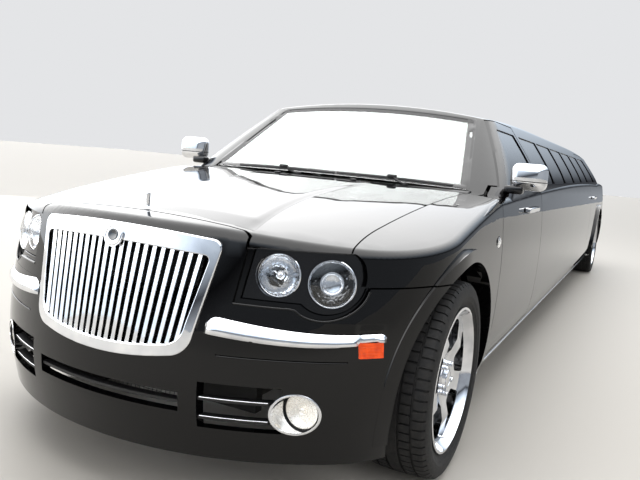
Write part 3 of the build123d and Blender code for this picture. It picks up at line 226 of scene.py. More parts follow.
# gloss: size, lowest and highest roughness; tint: size, dark, light, detail;
# grain: size, depth, strength, detail, texture; sizes and depths in millimetres
finish = {
    # black two-layer car paint: a deep base under polished clear lacquer, with faint orange peel
    "paint": makeMaterial(
        "blackCarLacquer",
        {
            "IOR": 1.5,
            "Specular IOR Level": 0.0,
            "Coat Weight": 1.0,
            "Coat Roughness": 0.015,
            "Coat IOR": 1.4,
        },
        gloss=(140, 0.18, 0.30),
        tint=(900, "040405", "070708"),
        grain=(9, 0.01, 0.08),
    ),
    # electroplated metal over polished steel: mirror bright, with slight haze
    "chrome": makeMaterial("platedChrome", bareMetal, (25, 0.02, 0.06), (60, "DFE1E5", "F1F2F4", 2)),
    # polished and lacquered alloy: bright, a little softer than the chrome
    "wheel": makeMaterial("polishedWheelMetal", bareMetal, (25, 0.05, 0.12), (60, "CFD1D5", "E6E7EA", 2)),
    # moulded carbon-black rubber: dull, a little dusty between the lugs
    "rubber": makeMaterial(
        "mouldedTyreRubber",
        {"IOR": 1.52, "Specular IOR Level": 0.35},
        gloss=(8, 0.62, 0.85),
        tint=(22, "161617", "242322"),
        grain=(2.2, 0.25, 0.35, 4),
    ),
    # hard-coated polycarbonate of a lamp lens
    "clear": makeMaterial(
        "clearPolycarbonate",
        {"Base Color": linear("FBFCFD"), "Transmission Weight": 1.0, "IOR": 1.45},
        gloss=(40, 0.0, 0.015),
    ),
    # laminated glass with a mirror-like coat, and glass tinted nearly black in the melt
    "screen": makeMaterial("laminatedScreenGlass", paneGlass("E2EFEA", 1.0, 0.7), (300, 0.0, 0.01)),
    "tint": makeMaterial("privacyGlass", paneGlass("16181A", 0.9, 0.0), (300, 0.0, 0.012)),
    # aluminium vapour on a moulded bowl: bright facets
    "reflector": makeMaterial(
        "vapourAluminium",
        {"Metallic": 1.0, "Base Color": linear("E9EBEE")},
        gloss=(12, 0.04, 0.10),
        grain=(9, 0.8, 0.35, 0, pebbles),
    ),
    # satin coat: pale and milky, and the same lit faintly from within for the fog lamps
    "pearl": makeMaterial("satinVapourCoat", milkyCoat(0.0), (10, 0.22, 0.34), (30, "E9E6DF", "F6F4EF")),
    "fog": makeMaterial("frostedFogBowl", milkyCoat(0.28), (10, 0.22, 0.34), (30, "E9E6DF", "F6F4EF")),
    # baked off-white paint on a pressed plate: even, with a soft shine
    "plate": makeMaterial("bakedPlatePaint", {"IOR": 1.5}, (60, 0.30, 0.40), (200, "DFDED8", "E6E5E0", 1)),
    # deep blue-grey vitreous enamel, polished flat
    "enamel": makeMaterial(
        "vitreousEnamel",
        {"Coat Weight": 1.0, "Coat Roughness": 0.03},
        gloss=(8, 0.18, 0.28),
        tint=(12, "1A222B", "2A3642"),
    ),
    # machined grey iron of a brake disc: a matt bloom
    "disc": makeMaterial("machinedGreyIron", bareMetal, (10, 0.28, 0.42), (30, "6B6A68", "8C8B89")),
    # pigmented acrylic of the marker and tail lamps: deep colour that glows a little
    "amber": makeLensColour("amberAcrylic", "B62A06", "FF5A14", 0.35),
    "red": makeLensColour("redAcrylic", "5E0506", "A80F12", 0.04),
    # moulded black plastic with a pressed-in fine grain: dull
    "plastic": makeMaterial(
        "grainedBlackPlastic",
        mouldedPlastic,
        gloss=(35, 0.45, 0.62),
        tint=(120, "101011", "1B1B1C"),
        grain=(1.4, 0.25, 0.4, 2, pebbles),
    ),
    # the same plastic from a polished mould: shiny
    "gloss": makeMaterial(
        "glossBlackPlastic",
        mouldedPlastic,
        gloss=(35, 0.1, 0.18),
        tint=(120, "08080A", "0E0E10"),
        grain=(6.0, 0.25, 0.4, 2, pebbles),
    ),
    # warm grey-black moulded trim with a soft skin
    "trim": makeMaterial(
        "softTouchTrim",
        mouldedPlastic,
        gloss=(35, 0.45, 0.62),
        tint=(120, "1E1C1B", "2D2A28"),
        grain=(1.8, 0.25, 0.4, 2, pebbles),
    ),
    # dyed and finished hide: soft sheen, pebbled grain and worn high spots
    "leather": makeMaterial(
        "blackUpholsteryLeather",
        {"IOR": 1.48, "Sheen Weight": 0.08},
        gloss=(18, 0.38, 0.52),
        tint=(160, "141213", "231F1E"),
        grain=(3.2, 0.45, 0.5, 2, pebbles),
    ),
    # steel under satin black chassis coating, with road dust
    "under": makeMaterial(
        "chassisCoating",
        {"Metallic": 0.1, "IOR": 1.5},
        gloss=(45, 0.5, 0.8),
        tint=(180, "121212", "262422"),
        grain=(4, 0.3, 0.35, 5),
    ),
    # sand-cast iron and aluminium, slightly oiled
    "cast": makeMaterial(
        "sandCastMetal",
        {"Metallic": 0.8},
        gloss=(12, 0.45, 0.7),
        tint=(70, "3C3B39", "565450"),
        grain=(3, 0.5, 0.5, 5),
    ),
    # aluminised steel tube, heat-dulled
    "pipe": makeMaterial("aluminisedTube", bareMetal, (30, 0.35, 0.55), (240, "5E5852", "8A8784")),
    "wood": makeWood(),
    # short cut-pile floor carpet
    "carpet": makeMaterial(
        "cutPileCarpet",
        {"Sheen Weight": 0.4, "IOR": 1.4},
        gloss=(4, 0.85, 1.0),
        tint=(6, "17171A", "2B2B2F"),
        grain=(2.5, 2.0, 0.8, 3),
    ),
}
print("materials made:", len(finish))

# Shared modelling helpers

bodySides = ((1, "left"), (-1, "right"))
labelSides = ((1, "Left"), (-1, "Right"))
upright = Matrix()


def deselectAll():
    bpy.ops.object.select_all(action="DESELECT")


def pick(obj):
    # makes one object the only selected and active one
    deselectAll()
    obj.select_set(True)
    bpy.context.view_layer.objects.active = obj
    return obj


def editAll(obj):
    # opens a mesh in edit mode with all of it selected
    pick(obj)
    bpy.ops.object.mode_set(mode="EDIT")
    bpy.ops.mesh.select_all(action="SELECT")


def endEdit():
    bpy.ops.object.mode_set(mode="OBJECT")


def settle():
    # the selected object's place, turn and size go into its mesh
    bpy.ops.object.transform_apply(location=True, rotation=True, scale=True)


def linked(name, data):
    # a new object in the scene
    obj = bpy.data.objects.new(name, data)
    bpy.context.collection.objects.link(obj)
    return obj


def blend(first, last, share):
    # the value a share of the way from the first to the last
    return first + (last - first) * share


def smooth(obj, angle=40):
    pick(obj)
    bpy.ops.object.shade_smooth_by_angle(angle=radians(angle))
    return obj


def modified(obj, kind, settings):
    # adds one modifier with its settings and applies it
    modifier = obj.modifiers.new("change", kind)
    for name, value in settings.items():
        setattr(modifier, name, value)
    pick(obj)
    bpy.ops.object.modifier_apply(modifier="change")
    return obj


def roundedEdges(width, segments, angle):
    # settings of a bevel on all edges sharper than an angle
    return {"width": width, "segments": segments, "limit_method": "ANGLE", "angle_limit": radians(angle)}


def faced(sheet, facing):
    # turns a sheet's faces towards one side
    sheet.data.update()
    if sheet.data.polygons[0].normal.dot(Vector(facing)) < 0:
        sheet.data.flip_normals()
    return sheet


def joined(name, pieces):
    # several finished objects as one piece
    deselectAll()
    for piece in pieces:
        piece.select_set(True)
    bpy.context.view_layer.objects.active = pieces[0]
    if len(pieces) > 1:
        bpy.ops.object.join()
    piece = bpy.context.view_layer.objects.active
    piece.name = name
    piece.data.name = name
    return piece


def dress(obj, finishName, body="shell"):
    # finish and body of a finished piece
    obj.data.materials.clear()
    obj.data.materials.append(finish[finishName])
    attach(obj, body)
    return obj


def assembled(name, pieces, finishName, body="shell", angle=40):
    # several objects joined, smoothed and dressed as one piece
    return dress(smooth(joined(name, pieces), angle), finishName, body)


def softenedBox(name, low, high, bevel, segments=3):
    # a box between two corners with rounded edges
    deselectAll()
    bpy.ops.mesh.primitive_cube_add(size=1, location=[(a + b) / 2 for a, b in zip(low, high)])
    box = bpy.context.object
    box.name = name
    box.scale = [b - a for a, b in zip(low, high)]
    settle()
    editAll(box)
    bpy.ops.mesh.bevel(offset=bevel, segments=segments, affect="EDGES")
    endEdit()
    return box


def carBox(name, low, high, bevel, segments=3):
    # the same, with the middle value of each corner in millimetres behind the nose
    corners = [(x, behind(distance), z) for x, distance, z in (low, high)]
    return softenedBox(name, *corners, bevel, segments)


def spun(name, points, steps, centre=(0, 0, 0), axis="Z"):
    # a profile of (offset along the axis, radius) pairs spun about an axle through centre
    corners = {
        "X": [(offset, 0, radius) for offset, radius in points],
        "Y": [(0, offset, radius) for offset, radius in points],
        "Z": [(radius, 0, offset) for offset, radius in points],
    }[axis]
    mesh = bpy.data.meshes.new(name)
    mesh.from_pydata(corners, [(i, i + 1) for i in range(len(corners) - 1)], [])
    obj = linked(name, mesh)
    editAll(obj)
    axle = [float(letter == axis) for letter in "XYZ"]
    bpy.ops.mesh.spin(steps=steps, angle=2 * pi, center=(0, 0, 0), axis=axle)
    bpy.ops.mesh.select_all(action="SELECT")
    bpy.ops.mesh.remove_doubles(threshold=0.00002)
    bpy.ops.mesh.normals_make_consistent(inside=False)
    endEdit()
    obj.location = centre
    settle()
    return obj


def turnedCopy(source, matrix, name):
    # a copy with its own mesh, moved by a matrix
    mesh = source.data.copy()
    mesh.transform(matrix)
    return linked(name, mesh)


def mirrored(source, name):
    # the mirror image across the car's middle, faces kept outwards
    copy = turnedCopy(source, Matrix.Scale(-1, 4, (1, 0, 0)), name)
    copy.data.flip_normals()
    return copy


def onSide(source, side, name):
    # a piece modelled for the left side, as it is or mirrored
    return turnedCopy(source, upright, name) if side > 0 else mirrored(source, name)


def discard(sources):
    for source in sources:
        bpy.data.objects.remove(source)


def smoothNode(node, finishName, angle):
    # a merged and smoothed copy of a CAD node that stands for it
    mesh = frame["nodes"][node].data.copy()
    piece = linked(node + "Skin", mesh)
    editAll(piece)
    bpy.ops.mesh.remove_doubles(threshold=0.00003)
    endEdit()
    if mesh.has_custom_normals:
        bpy.ops.mesh.customdata_custom_splitnormals_clear()
    dress(smooth(piece, angle), finishName, nodeBody[node])
    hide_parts(node)
    return piece


# Camera and studio

cameraSpot = {
    "place": (1.463, -5.7915, 1.125),
    "yaw": -25.78,
    "pitch": -6.99,
    "roll": 5.0,
    "lens": 37.68,
}


def makeCamera(spot):
    yaw, pitch, roll = (radians(spot[name]) for name in ("yaw", "pitch", "roll"))
    ahead = Vector((sin(yaw) * cos(pitch), cos(yaw) * cos(pitch), sin(pitch)))
    right = ahead.cross(Vector((0, 0, 1))).normalized()
    up = right.cross(ahead)
    side = right * cos(roll) + up * sin(roll)
    top = up * cos(roll) - right * sin(roll)
    data = bpy.data.cameras.new("camera")
    data.lens = spot["lens"]
    data.sensor_width = 36
    data.clip_end = 200
    camera = linked("camera", data)
    turn = Matrix((side, top, -ahead)).transposed().to_4x4()
    camera.matrix_world = Matrix.Translation(spot["place"]) @ turn
    bpy.context.scene.camera = camera


studio = {
    "backColour": "E4E5E7",
    "skyColour": "FFFFFF",
    "middleColour": "9AA3AD",
    "duskColour": "1A1B1E",
    "lowColour": "56595D",
    "skyStrength": 4.2,
    "fillStrength": 0.55,
    "brightBehind": 0.03,
    "brightRight": 0.45,
    "floorColour": "CFCBC4",
}

lightTable = [
    # name, place, aimed at, width, length, power
    ("topBox", (0.0, -1.0, 6.5), (0.0, -1.0, 0.0), 6.0, 12.0, 330),
    ("keyBox", (5.5, -6.5, 4.2), (0.4, -3.2, 0.7), 3.0, 5.0, 120),
    ("noseBox", (-3.5, -9.0, 3.6), (0.0, -4.0, 0.6), 3.0, 3.0, 60),
    ("sideBox", (-6.5, 1.0, 4.0), (0.0, 0.5, 0.6), 2.5, 9.0, 100),
]


def makeStudio(values):
    deselectAll()
    bpy.ops.mesh.primitive_plane_add(size=120, location=(0, 0, cadBox[0].z - 0.0005))
    floor = bpy.context.object
    floor.name = "studioFloor"
    # matt floor paint: even, without glare
    floorPaint = {"Roughness": 0.6, "Base Color": linear(values["floorColour"])}
    floor.data.materials.append(startMaterial("mattFloorPaint", floorPaint)[0])
    for name, place, target, width, length, power in lightTable:
        data = bpy.data.lights.new(name, "AREA")
        data.shape = "RECTANGLE"
        data.size = width
        data.size_y = length
        data.energy = power
        lamp = linked(name, data)
        lamp.location = place
        lamp.rotation_euler = (Vector(target) - Vector(place)).to_track_quat("-Z", "Y").to_euler()
        lamp.visible_camera = False
        lamp.visible_glossy = False
    # reflections see a sky that is bright overhead and to the car's right, and dark low down
    world = bpy.data.worlds.new("studioWorld")
    world.use_nodes = True
    bpy.context.scene.world = world
    world.node_tree.nodes.clear()
    coords = addNode(world, "ShaderNodeTexCoord")
    split = addNode(world, "ShaderNodeSeparateXYZ", {}, {"Vector": coords.outputs["Generated"]})
    rise = addNode(
        world,
        "ShaderNodeMath",
        {"operation": "MULTIPLY_ADD"},
        {0: split.outputs["Y"], 2: split.outputs["Z"]},
    )
    rise.inputs[1].default_value = values["brightBehind"]
    lean = addNode(
        world, "ShaderNodeMath", {"operation": "MULTIPLY_ADD"}, {0: split.outputs["X"], 2: rise.outputs[0]}
    )
    lean.inputs[1].default_value = -values["brightRight"]
    ramp = addNode(world, "ShaderNodeValToRGB", {}, {"Fac": lean.outputs[0]})
    elements = ramp.color_ramp.elements
    elements[0].position = 0.0
    elements[0].color = linear(values["lowColour"])
    elements[1].position = 0.62
    elements[1].color = linear(values["skyColour"])
    for position, name in ((0.07, "duskColour"), (0.30, "middleColour")):
        elements.new(position).color = linear(values[name])
    seen = addNode(world, "ShaderNodeBackground", {"Color": linear(values["backColour"]), "Strength": 1.0})
    fill = addNode(
        world, "ShaderNodeBackground", {"Color": linear("FFFFFF"), "Strength": values["fillStrength"]}
    )
    sky = addNode(
        world, "ShaderNodeBackground", {"Strength": values["skyStrength"]}, {"Color": ramp.outputs["Color"]}
    )
    path = addNode(world, "ShaderNodeLightPath")
    glossy = addNode(world, "ShaderNodeMixShader")
    for source, socket in ((path.outputs["Is Glossy Ray"], 0), (fill.outputs[0], 1), (sky.outputs[0], 2)):
        world.node_tree.links.new(source, glossy.inputs[socket])
    mix = addNode(world, "ShaderNodeMixShader")
    for source, socket in (
        (path.outputs["Is Camera Ray"], 0), (glossy.outputs[0], 1), (seen.outputs[0], 2)
    ):
        world.node_tree.links.new(source, mix.inputs[socket])
    addNode(world, "ShaderNodeOutputWorld", {}, {"Surface": mix.outputs[0]})
    scene = bpy.context.scene
    scene.view_settings.view_transform = "Standard"
    scene.view_settings.look = "None"


deselectAll()
makeCamera(cameraSpot)
makeStudio(studio)
print("camera and studio ready")

# Finishes of the CAD nodes

skinTable = [
    # nodes, finish, angle up to which faces are shaded as one
    (["hood", "front_fender_left", "front_fender_right", "front_bumper"], "paint", 28),
    (["front_door_left", "front_door_right", "rear_door_left", "rear_door_right"], "paint", 28),
    (
        ["body_side_left", "body_side_right", "rear_deck", "boot_lid", "rear_bumper", "greenhouse"],
        "paint",
        28,
    ),
    (["grille_surround", "grille_slats", "fog_bezels", "grille_boss"], "chrome", 32),
    (["hood_ornament", "front_door_trim_left", "front_door_trim_right"], "chrome", 40),
    (["rear_door_trim_left", "rear_door_trim_right"], "chrome", 40),
    (["marker_lamps"], "amber", 30),
    (["headlamp_bezels"], "gloss", 30),
    (["lower_grilles", "cowl"], "plastic", 30),
    (["lamp_reflectors"], "reflector", 40),
    (["lamp_lenses"], "clear", 40),
    (["front_door_glass_left", "front_door_glass_right"], "tint", 30),
    (["rear_door_glass_left", "rear_door_glass_right", "tinted_glass"], "tint", 30),
    (["windscreen"], "screen", 30),
    (["tail_lamps"], "red", 30),
    (["front_rim_left", "front_rim_right", "rear_rim_left", "rear_rim_right"], "wheel", 35),
    (["front_knuckle_left", "front_knuckle_right", "rear_suspension"], "cast", 30),
    (["floor_pan", "front_structure", "hinge_posts"], "under", 30),
    (["engine_block"], "cast", 30),
    (["exhaust"], "pipe", 35),
    (["dashboard", "partition"], "trim", 35),
    (["bar_cabinet"], "wood", 30),
]

skins = {}
for nodes, finishName, angle in skinTable:
    for node in nodes:
        skins[node] = smoothNode(node, finishName, angle)
for node, skin in skins.items():
    if "glass" in node or node in ("windscreen", "lamp_lenses"):
        skin.visible_shadow = False
print("nodes dressed:", len(skins))


# Tyres and wheels

wheelSizes = {
    "centreX": 0.800,
    "height": 0.364,
    "pitches": 66,
    "pitchSteps": 5,
    "slotDepth": 0.0065,
    "slotInside": 0.350,
    "nutCircle": 0.058,
    "nutRadius": 0.0105,
    "nuts": 5,
    "capRadius": 0.033,
    "discFace": 0.028,
    "discRadius": 0.168,
}
axleY = {"front": behind(857), "rear": behind(7461)}

# section of one half of the tyre, from the bead to the middle rib: offset from the middle, radius
tyreHalf = [
    (0.1000, 0.2580),
    (0.1035, 0.2700),
    (0.1075, 0.2735),
    (0.1085, 0.2790),
    (0.1150, 0.2880),
    (0.1162, 0.2905),
    (0.1172, 0.2905),
    (0.1206, 0.3060),
    (0.1218, 0.3080),
    (0.1222, 0.3200),
    (0.1200, 0.3360),
    (0.1150, 0.3480),
    (0.1060, 0.3575),
    (0.0960, 0.3605),
    (0.0740, 0.3620),
    (0.0730, 0.3555),
    (0.0655, 0.3555),
    (0.0645, 0.3628),
    (0.0300, 0.3638),
    (0.0290, 0.3565),
    (0.0215, 0.3565),
    (0.0205, 0.3640),
]


def makeTyre():
    # one pitch of the tread with its slots, repeated round the axle
    outline = [(-x, r) for x, r in tyreHalf] + [(x, r) for x, r in reversed(tyreHalf)]
    outline += [(0.098, 0.2575), (-0.098, 0.2575)]
    corners = [(x, 0, r) for x, r in outline]
    edges = [(i, (i + 1) % len(corners)) for i in range(len(corners))]
    mesh = bpy.data.meshes.new("tyrePitch")
    mesh.from_pydata(corners, edges, [])
    tyre = linked("tyrePitch", mesh)
    pitch = 2 * pi / wheelSizes["pitches"]
    editAll(tyre)
    bpy.ops.mesh.spin(steps=wheelSizes["pitchSteps"], angle=pitch, center=(0, 0, 0), axis=(1, 0, 0))
    bpy.ops.mesh.select_all(action="SELECT")
    bpy.ops.mesh.normals_make_consistent(inside=False)
    bpy.ops.mesh.select_all(action="DESELECT")
    endEdit()
    for low, high, step in ((0.073, 0.118, 0), (0.029, 0.066, 2), (0.0, 0.021, 4)):
        for face in tyre.data.polygons:
            middle = face.center
            angle = abs(atan2(middle.y, middle.z))
            inBand = low < abs(middle.x) < high and hypot(middle.y, middle.z) > wheelSizes["slotInside"]
            face.select = inBand and int(angle / pitch * wheelSizes["pitchSteps"]) == step
        bpy.ops.object.mode_set(mode="EDIT")
        bpy.ops.mesh.select_mode(type="FACE")
        bpy.ops.mesh.extrude_region_move(TRANSFORM_OT_translate={"value": (0, 0, -wheelSizes["slotDepth"])})
        bpy.ops.mesh.select_all(action="DESELECT")
        endEdit()
    editAll(tyre)
    bpy.ops.mesh.spin(
        steps=wheelSizes["pitches"] - 1,
        dupli=True,
        angle=2 * pi - pitch,
        center=(0, 0, 0),
        axis=(1, 0, 0),
    )
    bpy.ops.mesh.select_all(action="SELECT")
    bpy.ops.mesh.remove_doubles(threshold=0.0001)
    bpy.ops.mesh.normals_make_consistent(inside=False)
    endEdit()
    return smooth(tyre, 28)


def makeWheelFittings():
    # lug nuts, hub cap with a stepped edge, and the valve, for a wheel that faces +X
    pieces = []
    for index in range(wheelSizes["nuts"]):
        angle = 2 * pi * (index + 0.5) / wheelSizes["nuts"]
        deselectAll()
        bpy.ops.mesh.primitive_cylinder_add(
            vertices=6,
            radius=wheelSizes["nutRadius"],
            depth=0.020,
            location=(0.082, wheelSizes["nutCircle"] * sin(angle), wheelSizes["nutCircle"] * cos(angle)),
            rotation=(0, pi / 2, 0),
        )
        nut = bpy.context.object
        editAll(nut)
        bpy.ops.mesh.bevel(offset=0.002, segments=2, affect="EDGES")
        endEdit()
        settle()
        pieces.append(nut)
    radius = wheelSizes["capRadius"]
    cap = spun(
        "cap",
        [
            (0.0800, radius), (0.0885, radius), (0.0900, radius - 0.002), (0.0900, radius - 0.005),
            (0.0885, radius - 0.006), (0.0885, radius - 0.009), (0.0905, radius - 0.012), (0.0920, 0.0),
        ],
        40,
        axis="X",
    )
    pieces.append(cap)
    valve = spun(
        "valve",
        [(0.066, 0.0055), (0.090, 0.0045), (0.092, 0.0050), (0.099, 0.0050), (0.100, 0.0)],
        12,
        axis="X",
    )
    valve.data.transform(Matrix.Translation((0, 0, -0.226)))
    pieces.append(valve)
    for piece in pieces:
        smooth(piece, 35)
    return joined("wheelFittings", pieces)


def makeCaliper():
    # a two-piston caliper that bridges the disc, for a wheel that faces +X, behind the axle
    body = softenedBox("caliper", (-0.052, 0.100, -0.070), (0.012, 0.186, 0.070), 0.010)
    bridge = softenedBox("caliperBridge", (-0.046, 0.168, -0.050), (0.022, 0.192, 0.050), 0.008)
    front = softenedBox("caliperFace", (0.002, 0.112, -0.058), (0.024, 0.182, 0.058), 0.009)
    for piece in (body, bridge, front):
        smooth(piece)
    return joined("caliper", [body, bridge, front])


def placeWheels():
    tyre = makeTyre()
    fittings = makeWheelFittings()
    caliper = makeCaliper()
    for end, y in axleY.items():
        for side, name in bodySides:
            label = name.capitalize()
            body = end + "_wheel_" + name
            straight = Matrix.Translation((side * wheelSizes["centreX"], y, wheelSizes["height"]))
            place = straight if side > 0 else straight @ Matrix.Rotation(pi, 4, "Z")
            newTyre = turnedCopy(tyre, place, end + "Tyre" + label)
            dress(newTyre, "rubber", body)
            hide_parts(end + "_tyre_" + name)
            dress(turnedCopy(fittings, place, end + "WheelFittings" + label), "wheel", body)
            newCaliper = onSide(caliper, side, end + "Caliper" + label)
            newCaliper.data.transform(straight)
            dress(newCaliper, "cast", "knuckle_" + name if end == "front" else "shell")
            # the brake disc is part of the rim's node and gets a finish of its own
            skin = skins[end + "_rim_" + name]
            skin.data.materials.append(finish["disc"])
            for face in skin.data.polygons:
                outward = side * face.center.x - wheelSizes["centreX"]
                radius = hypot(face.center.y - y, face.center.z - wheelSizes["height"])
                if outward < wheelSizes["discFace"] and radius < wheelSizes["discRadius"]:
                    face.material_index = 1
    discard((tyre, fittings, caliper))


placeWheels()
print("wheels dressed")

# Headlamps, fog lamps and repeaters

# columns: X, distance behind the nose and height in millimetres, lens radius in metres, outward turn
lampTable = [
    ("inner", 507, 208, 768, 0.066, 16),
    ("outer", 649, 281, 753, 0.073, 25),
]
lampLean = 7
fogSpot = {"x": 605, "behind": 242, "height": 360, "radius": 0.059}
fogGasket = [
    (-0.004, 0.0595), (0.005, 0.0595), (0.0062, 0.0575), (0.0062, 0.0555), (-0.004, 0.0555),
    (-0.004, 0.0595),
]


def facingMatrix(place, facing, across):
    # local +Z looks along facing and local +X lies across
    ahead = Vector(facing).normalized()
    side = (Vector(across) - ahead * Vector(across).dot(ahead)).normalized()
    turn = Matrix((side, ahead.cross(side), ahead)).transposed().to_4x4()
    return Matrix.Translation(place) @ turn


def lampMatrix(side, x, distance, height, turn):
    facing = (side * sin(radians(turn)), -cos(radians(turn)), sin(radians(lampLean)))
    place = (side * x / 1000, behind(distance), height / 1000)
    return facingMatrix(place, facing, (side, sin(radians(turn)), 0))


def makeLampRing(radius):
    # bright trim ring round the edge of a lens
    return smooth(
        spun(
            "lampRing",
            [
                (-0.006, radius + 0.0008), (0.0005, radius + 0.0008), (0.0022, radius - 0.0008),
                (0.0022, radius - 0.0030), (0.0008, radius - 0.0042), (-0.006, radius - 0.0042),
                (-0.006, radius + 0.0008),
            ],
            64,
        )
    )


def makeProjector():
    # dipped-beam projector: a bright shroud round a thick clear ball lens
    shroud = smooth(
        spun(
            "shroud",
            [
                (-0.052, 0.020), (-0.040, 0.030), (-0.030, 0.034), (-0.016, 0.0365), (-0.012, 0.0355),
                (-0.012, 0.0320), (-0.022, 0.0300), (-0.030, 0.0290), (-0.044, 0.018), (-0.052, 0.020),
            ],
            48,
        )
    )
    ball = smooth(
        spun(
            "ball",
            [
                (-0.034, 0.0), (-0.034, 0.0285), (-0.026, 0.0295), (-0.018, 0.0270), (-0.011, 0.0200),
                (-0.0075, 0.0100), (-0.0065, 0.0),
            ],
            48,
        ),
        60,
    )
    return shroud, ball


def makeBulb():
    # main-beam bulb: glass envelope with a bright shield on two stays
    shield = smooth(
        spun(
            "shield",
            [(-0.030, 0.0135), (-0.022, 0.0140), (-0.014, 0.0125), (-0.009, 0.0080), (-0.0075, 0.0)],
            32,
        ),
        50,
    )
    envelope = smooth(
        spun(
            "envelope",
            [
                (-0.058, 0.0), (-0.058, 0.010), (-0.050, 0.010), (-0.048, 0.0065), (-0.028, 0.0065),
                (-0.024, 0.0),
            ],
            24,
        ),
        50,
    )
    stays = [
        softenedBox("stay", (x - 0.0012, -0.0016, -0.056), (x + 0.0012, 0.0016, -0.020), 0.0006, 2)
        for x in (-0.0125, 0.0125)
    ]
    return joined("shield", [shield] + stays), envelope


def makeFogBowl():
    # shallow faceted reflector and bulb cap behind a fog lens
    bowl = spun(
        "fogBowl",
        [
            (-0.0005, fogSpot["radius"] - 0.002), (-0.004, 0.045), (-0.0062, 0.030), (-0.0070, 0.016),
            (-0.0070, 0.012), (0.0015, 0.0105), (0.0035, 0.0070), (0.0042, 0.0),
        ],
        48,
    )
    return smooth(bowl, 50)


def placeLamps():
    projector = makeProjector()
    bulb = makeBulb()
    bowl = makeFogBowl()
    for side, sideName in labelSides:
        for name, x, distance, height, radius, turn in lampTable:
            matrix = lampMatrix(side, x, distance, height, turn)
            ring = makeLampRing(radius)
            ring.data.transform(matrix)
            ring.name = name + "LampRing" + sideName
            dress(ring, "chrome")
            metal, glass = projector if name == "outer" else bulb
            for source, finishName, slotName in (
                (metal, "reflector", "reflector"), (glass, "clear", "clear_lens")
            ):
                piece = turnedCopy(source, matrix, name + source.name.capitalize() + sideName)
                dress(piece, finishName)
                piece.visible_shadow = finishName != "clear"
        fogPlace = (side * fogSpot["x"] / 1000, behind(fogSpot["behind"]), fogSpot["height"] / 1000)
        facing = facingMatrix(fogPlace, (0, -1, 0), (1, 0, 0))
        dress(turnedCopy(bowl, facing, "fogBowl" + sideName), "fog")
        gasket = spun("fogGasket" + sideName, fogGasket, 48)
        gasket.data.transform(facing)
        dress(smooth(gasket), "rubber")
    discard((*projector, *bulb, bowl))


placeLamps()
print("lamps dressed")

# Nose: boss, washers, radiator core behind the slats

bossSpot = {"behind": 51, "height": 835, "lean": 10.5, "radius": 0.035}
washerTable = [(0.205, 1392), (-0.205, 1392)]


def makeBoss():
    # a plain round badge: raised bright ring round a smooth dark enamel disc
    place = (0, behind(bossSpot["behind"]), bossSpot["height"] / 1000)
    lean = radians(bossSpot["lean"])
    matrix = facingMatrix(place, (0, -cos(lean), sin(lean)), (1, 0, 0))
    radius = bossSpot["radius"]
    ring = spun(
        "bossRing",
        [
            (-0.004, radius - 0.0005), (0.0014, radius - 0.0005), (0.0034, radius - 0.003),
            (0.0034, radius - 0.006), (0.0012, radius - 0.0085), (-0.004, radius - 0.0085),
            (-0.004, radius - 0.0005),
        ],
        64,
    )
    ring.data.transform(matrix)
    dress(smooth(ring), "chrome")
    disc = spun(
        "bossDisc",
        [
            (-0.004, radius - 0.008), (0.0006, radius - 0.008), (0.0013, 0.018), (0.0026, 0.0165),
            (0.0026, 0.0145), (0.0016, 0.013), (0.0022, 0.0),
        ],
        64,
    )
    disc.data.transform(matrix)
    dress(smooth(disc), "enamel")


# where rays on the skins start, clear of the car: before the nose, before the windscreen,
# behind the tail, beside the car and over the hood
rayStart = {"nose": -5.2, "screen": -4.2, "tail": 4.6, "side": 1.3, "above": 1.3}


def castPoint(names, origin, heading):
    # nearest place that a ray meets on some skins
    start = Vector(origin)
    places = []
    for name in names:
        hit, where, normal, index = skins[name].ray_cast(start, Vector(heading))
        if hit:
            places.append(where.copy())
    return min(places, key=lambda where: (where - start).length)


def makeWashers():
    # small black spray nozzles on the rear of the hood
    for number, (x, distance) in enumerate(washerTable):
        y = behind(distance)
        z = castPoint(["hood"], (x, y, rayStart["above"]), (0, 0, -1)).z
        body = softenedBox(
            "washerBody", (x - 0.011, y - 0.016, z - 0.004), (x + 0.011, y + 0.014, z + 0.008), 0.004
        )
        jet = spun(
            "washerJet",
            [(-0.006, 0.0), (-0.006, 0.0030), (0.004, 0.0030), (0.006, 0.0018), (0.006, 0.0)],
            12,
            (x, y + 0.014, z + 0.003),
            "Y",
        )
        assembled("hoodWasher" + str(number), [body, jet], "plastic", "hood")


makeBoss()
makeWashers()
print("nose dressed")


# Padded seats

padSettings = {
    "voxel": 0.016,
    "pressure": 4.0,
    "frames": 20,
    "cap": 0.012,
    "inset": 0.006,
    "seamHalf": 0.014,
    "seamDepth": 0.006,
}
clothSettings = {
    "quality": 4,
    "mass": 0.3,
    "tension_stiffness": 12,
    "compression_stiffness": 12,
    "shear_stiffness": 6,
    "bending_stiffness": 0.6,
    "use_pressure": True,
    "uniform_pressure_force": padSettings["pressure"],
}

# pads in their own upright frame, base at the origin:
# name, width (X), depth (Y), height (Z), edge, channels across
padTable = [
    ("cushionPad", 0.300, 0.440, 0.120, 0.030, 3),
    ("cushionBolster", 0.085, 0.460, 0.140, 0.030, 0),
    ("backPad", 0.300, 0.085, 0.500, 0.028, 3),
    ("backBolster", 0.085, 0.110, 0.520, 0.030, 0),
    ("headPad", 0.250, 0.080, 0.150, 0.028, 0),
    ("benchPad", 0.440, 0.450, 0.130, 0.032, 0),
    ("benchBackPad", 0.085, 0.450, 0.420, 0.030, 3),
    ("rearPad", 0.445, 0.540, 0.130, 0.032, 0),
    ("rearBackPad", 0.445, 0.090, 0.540, 0.030, 3),
]


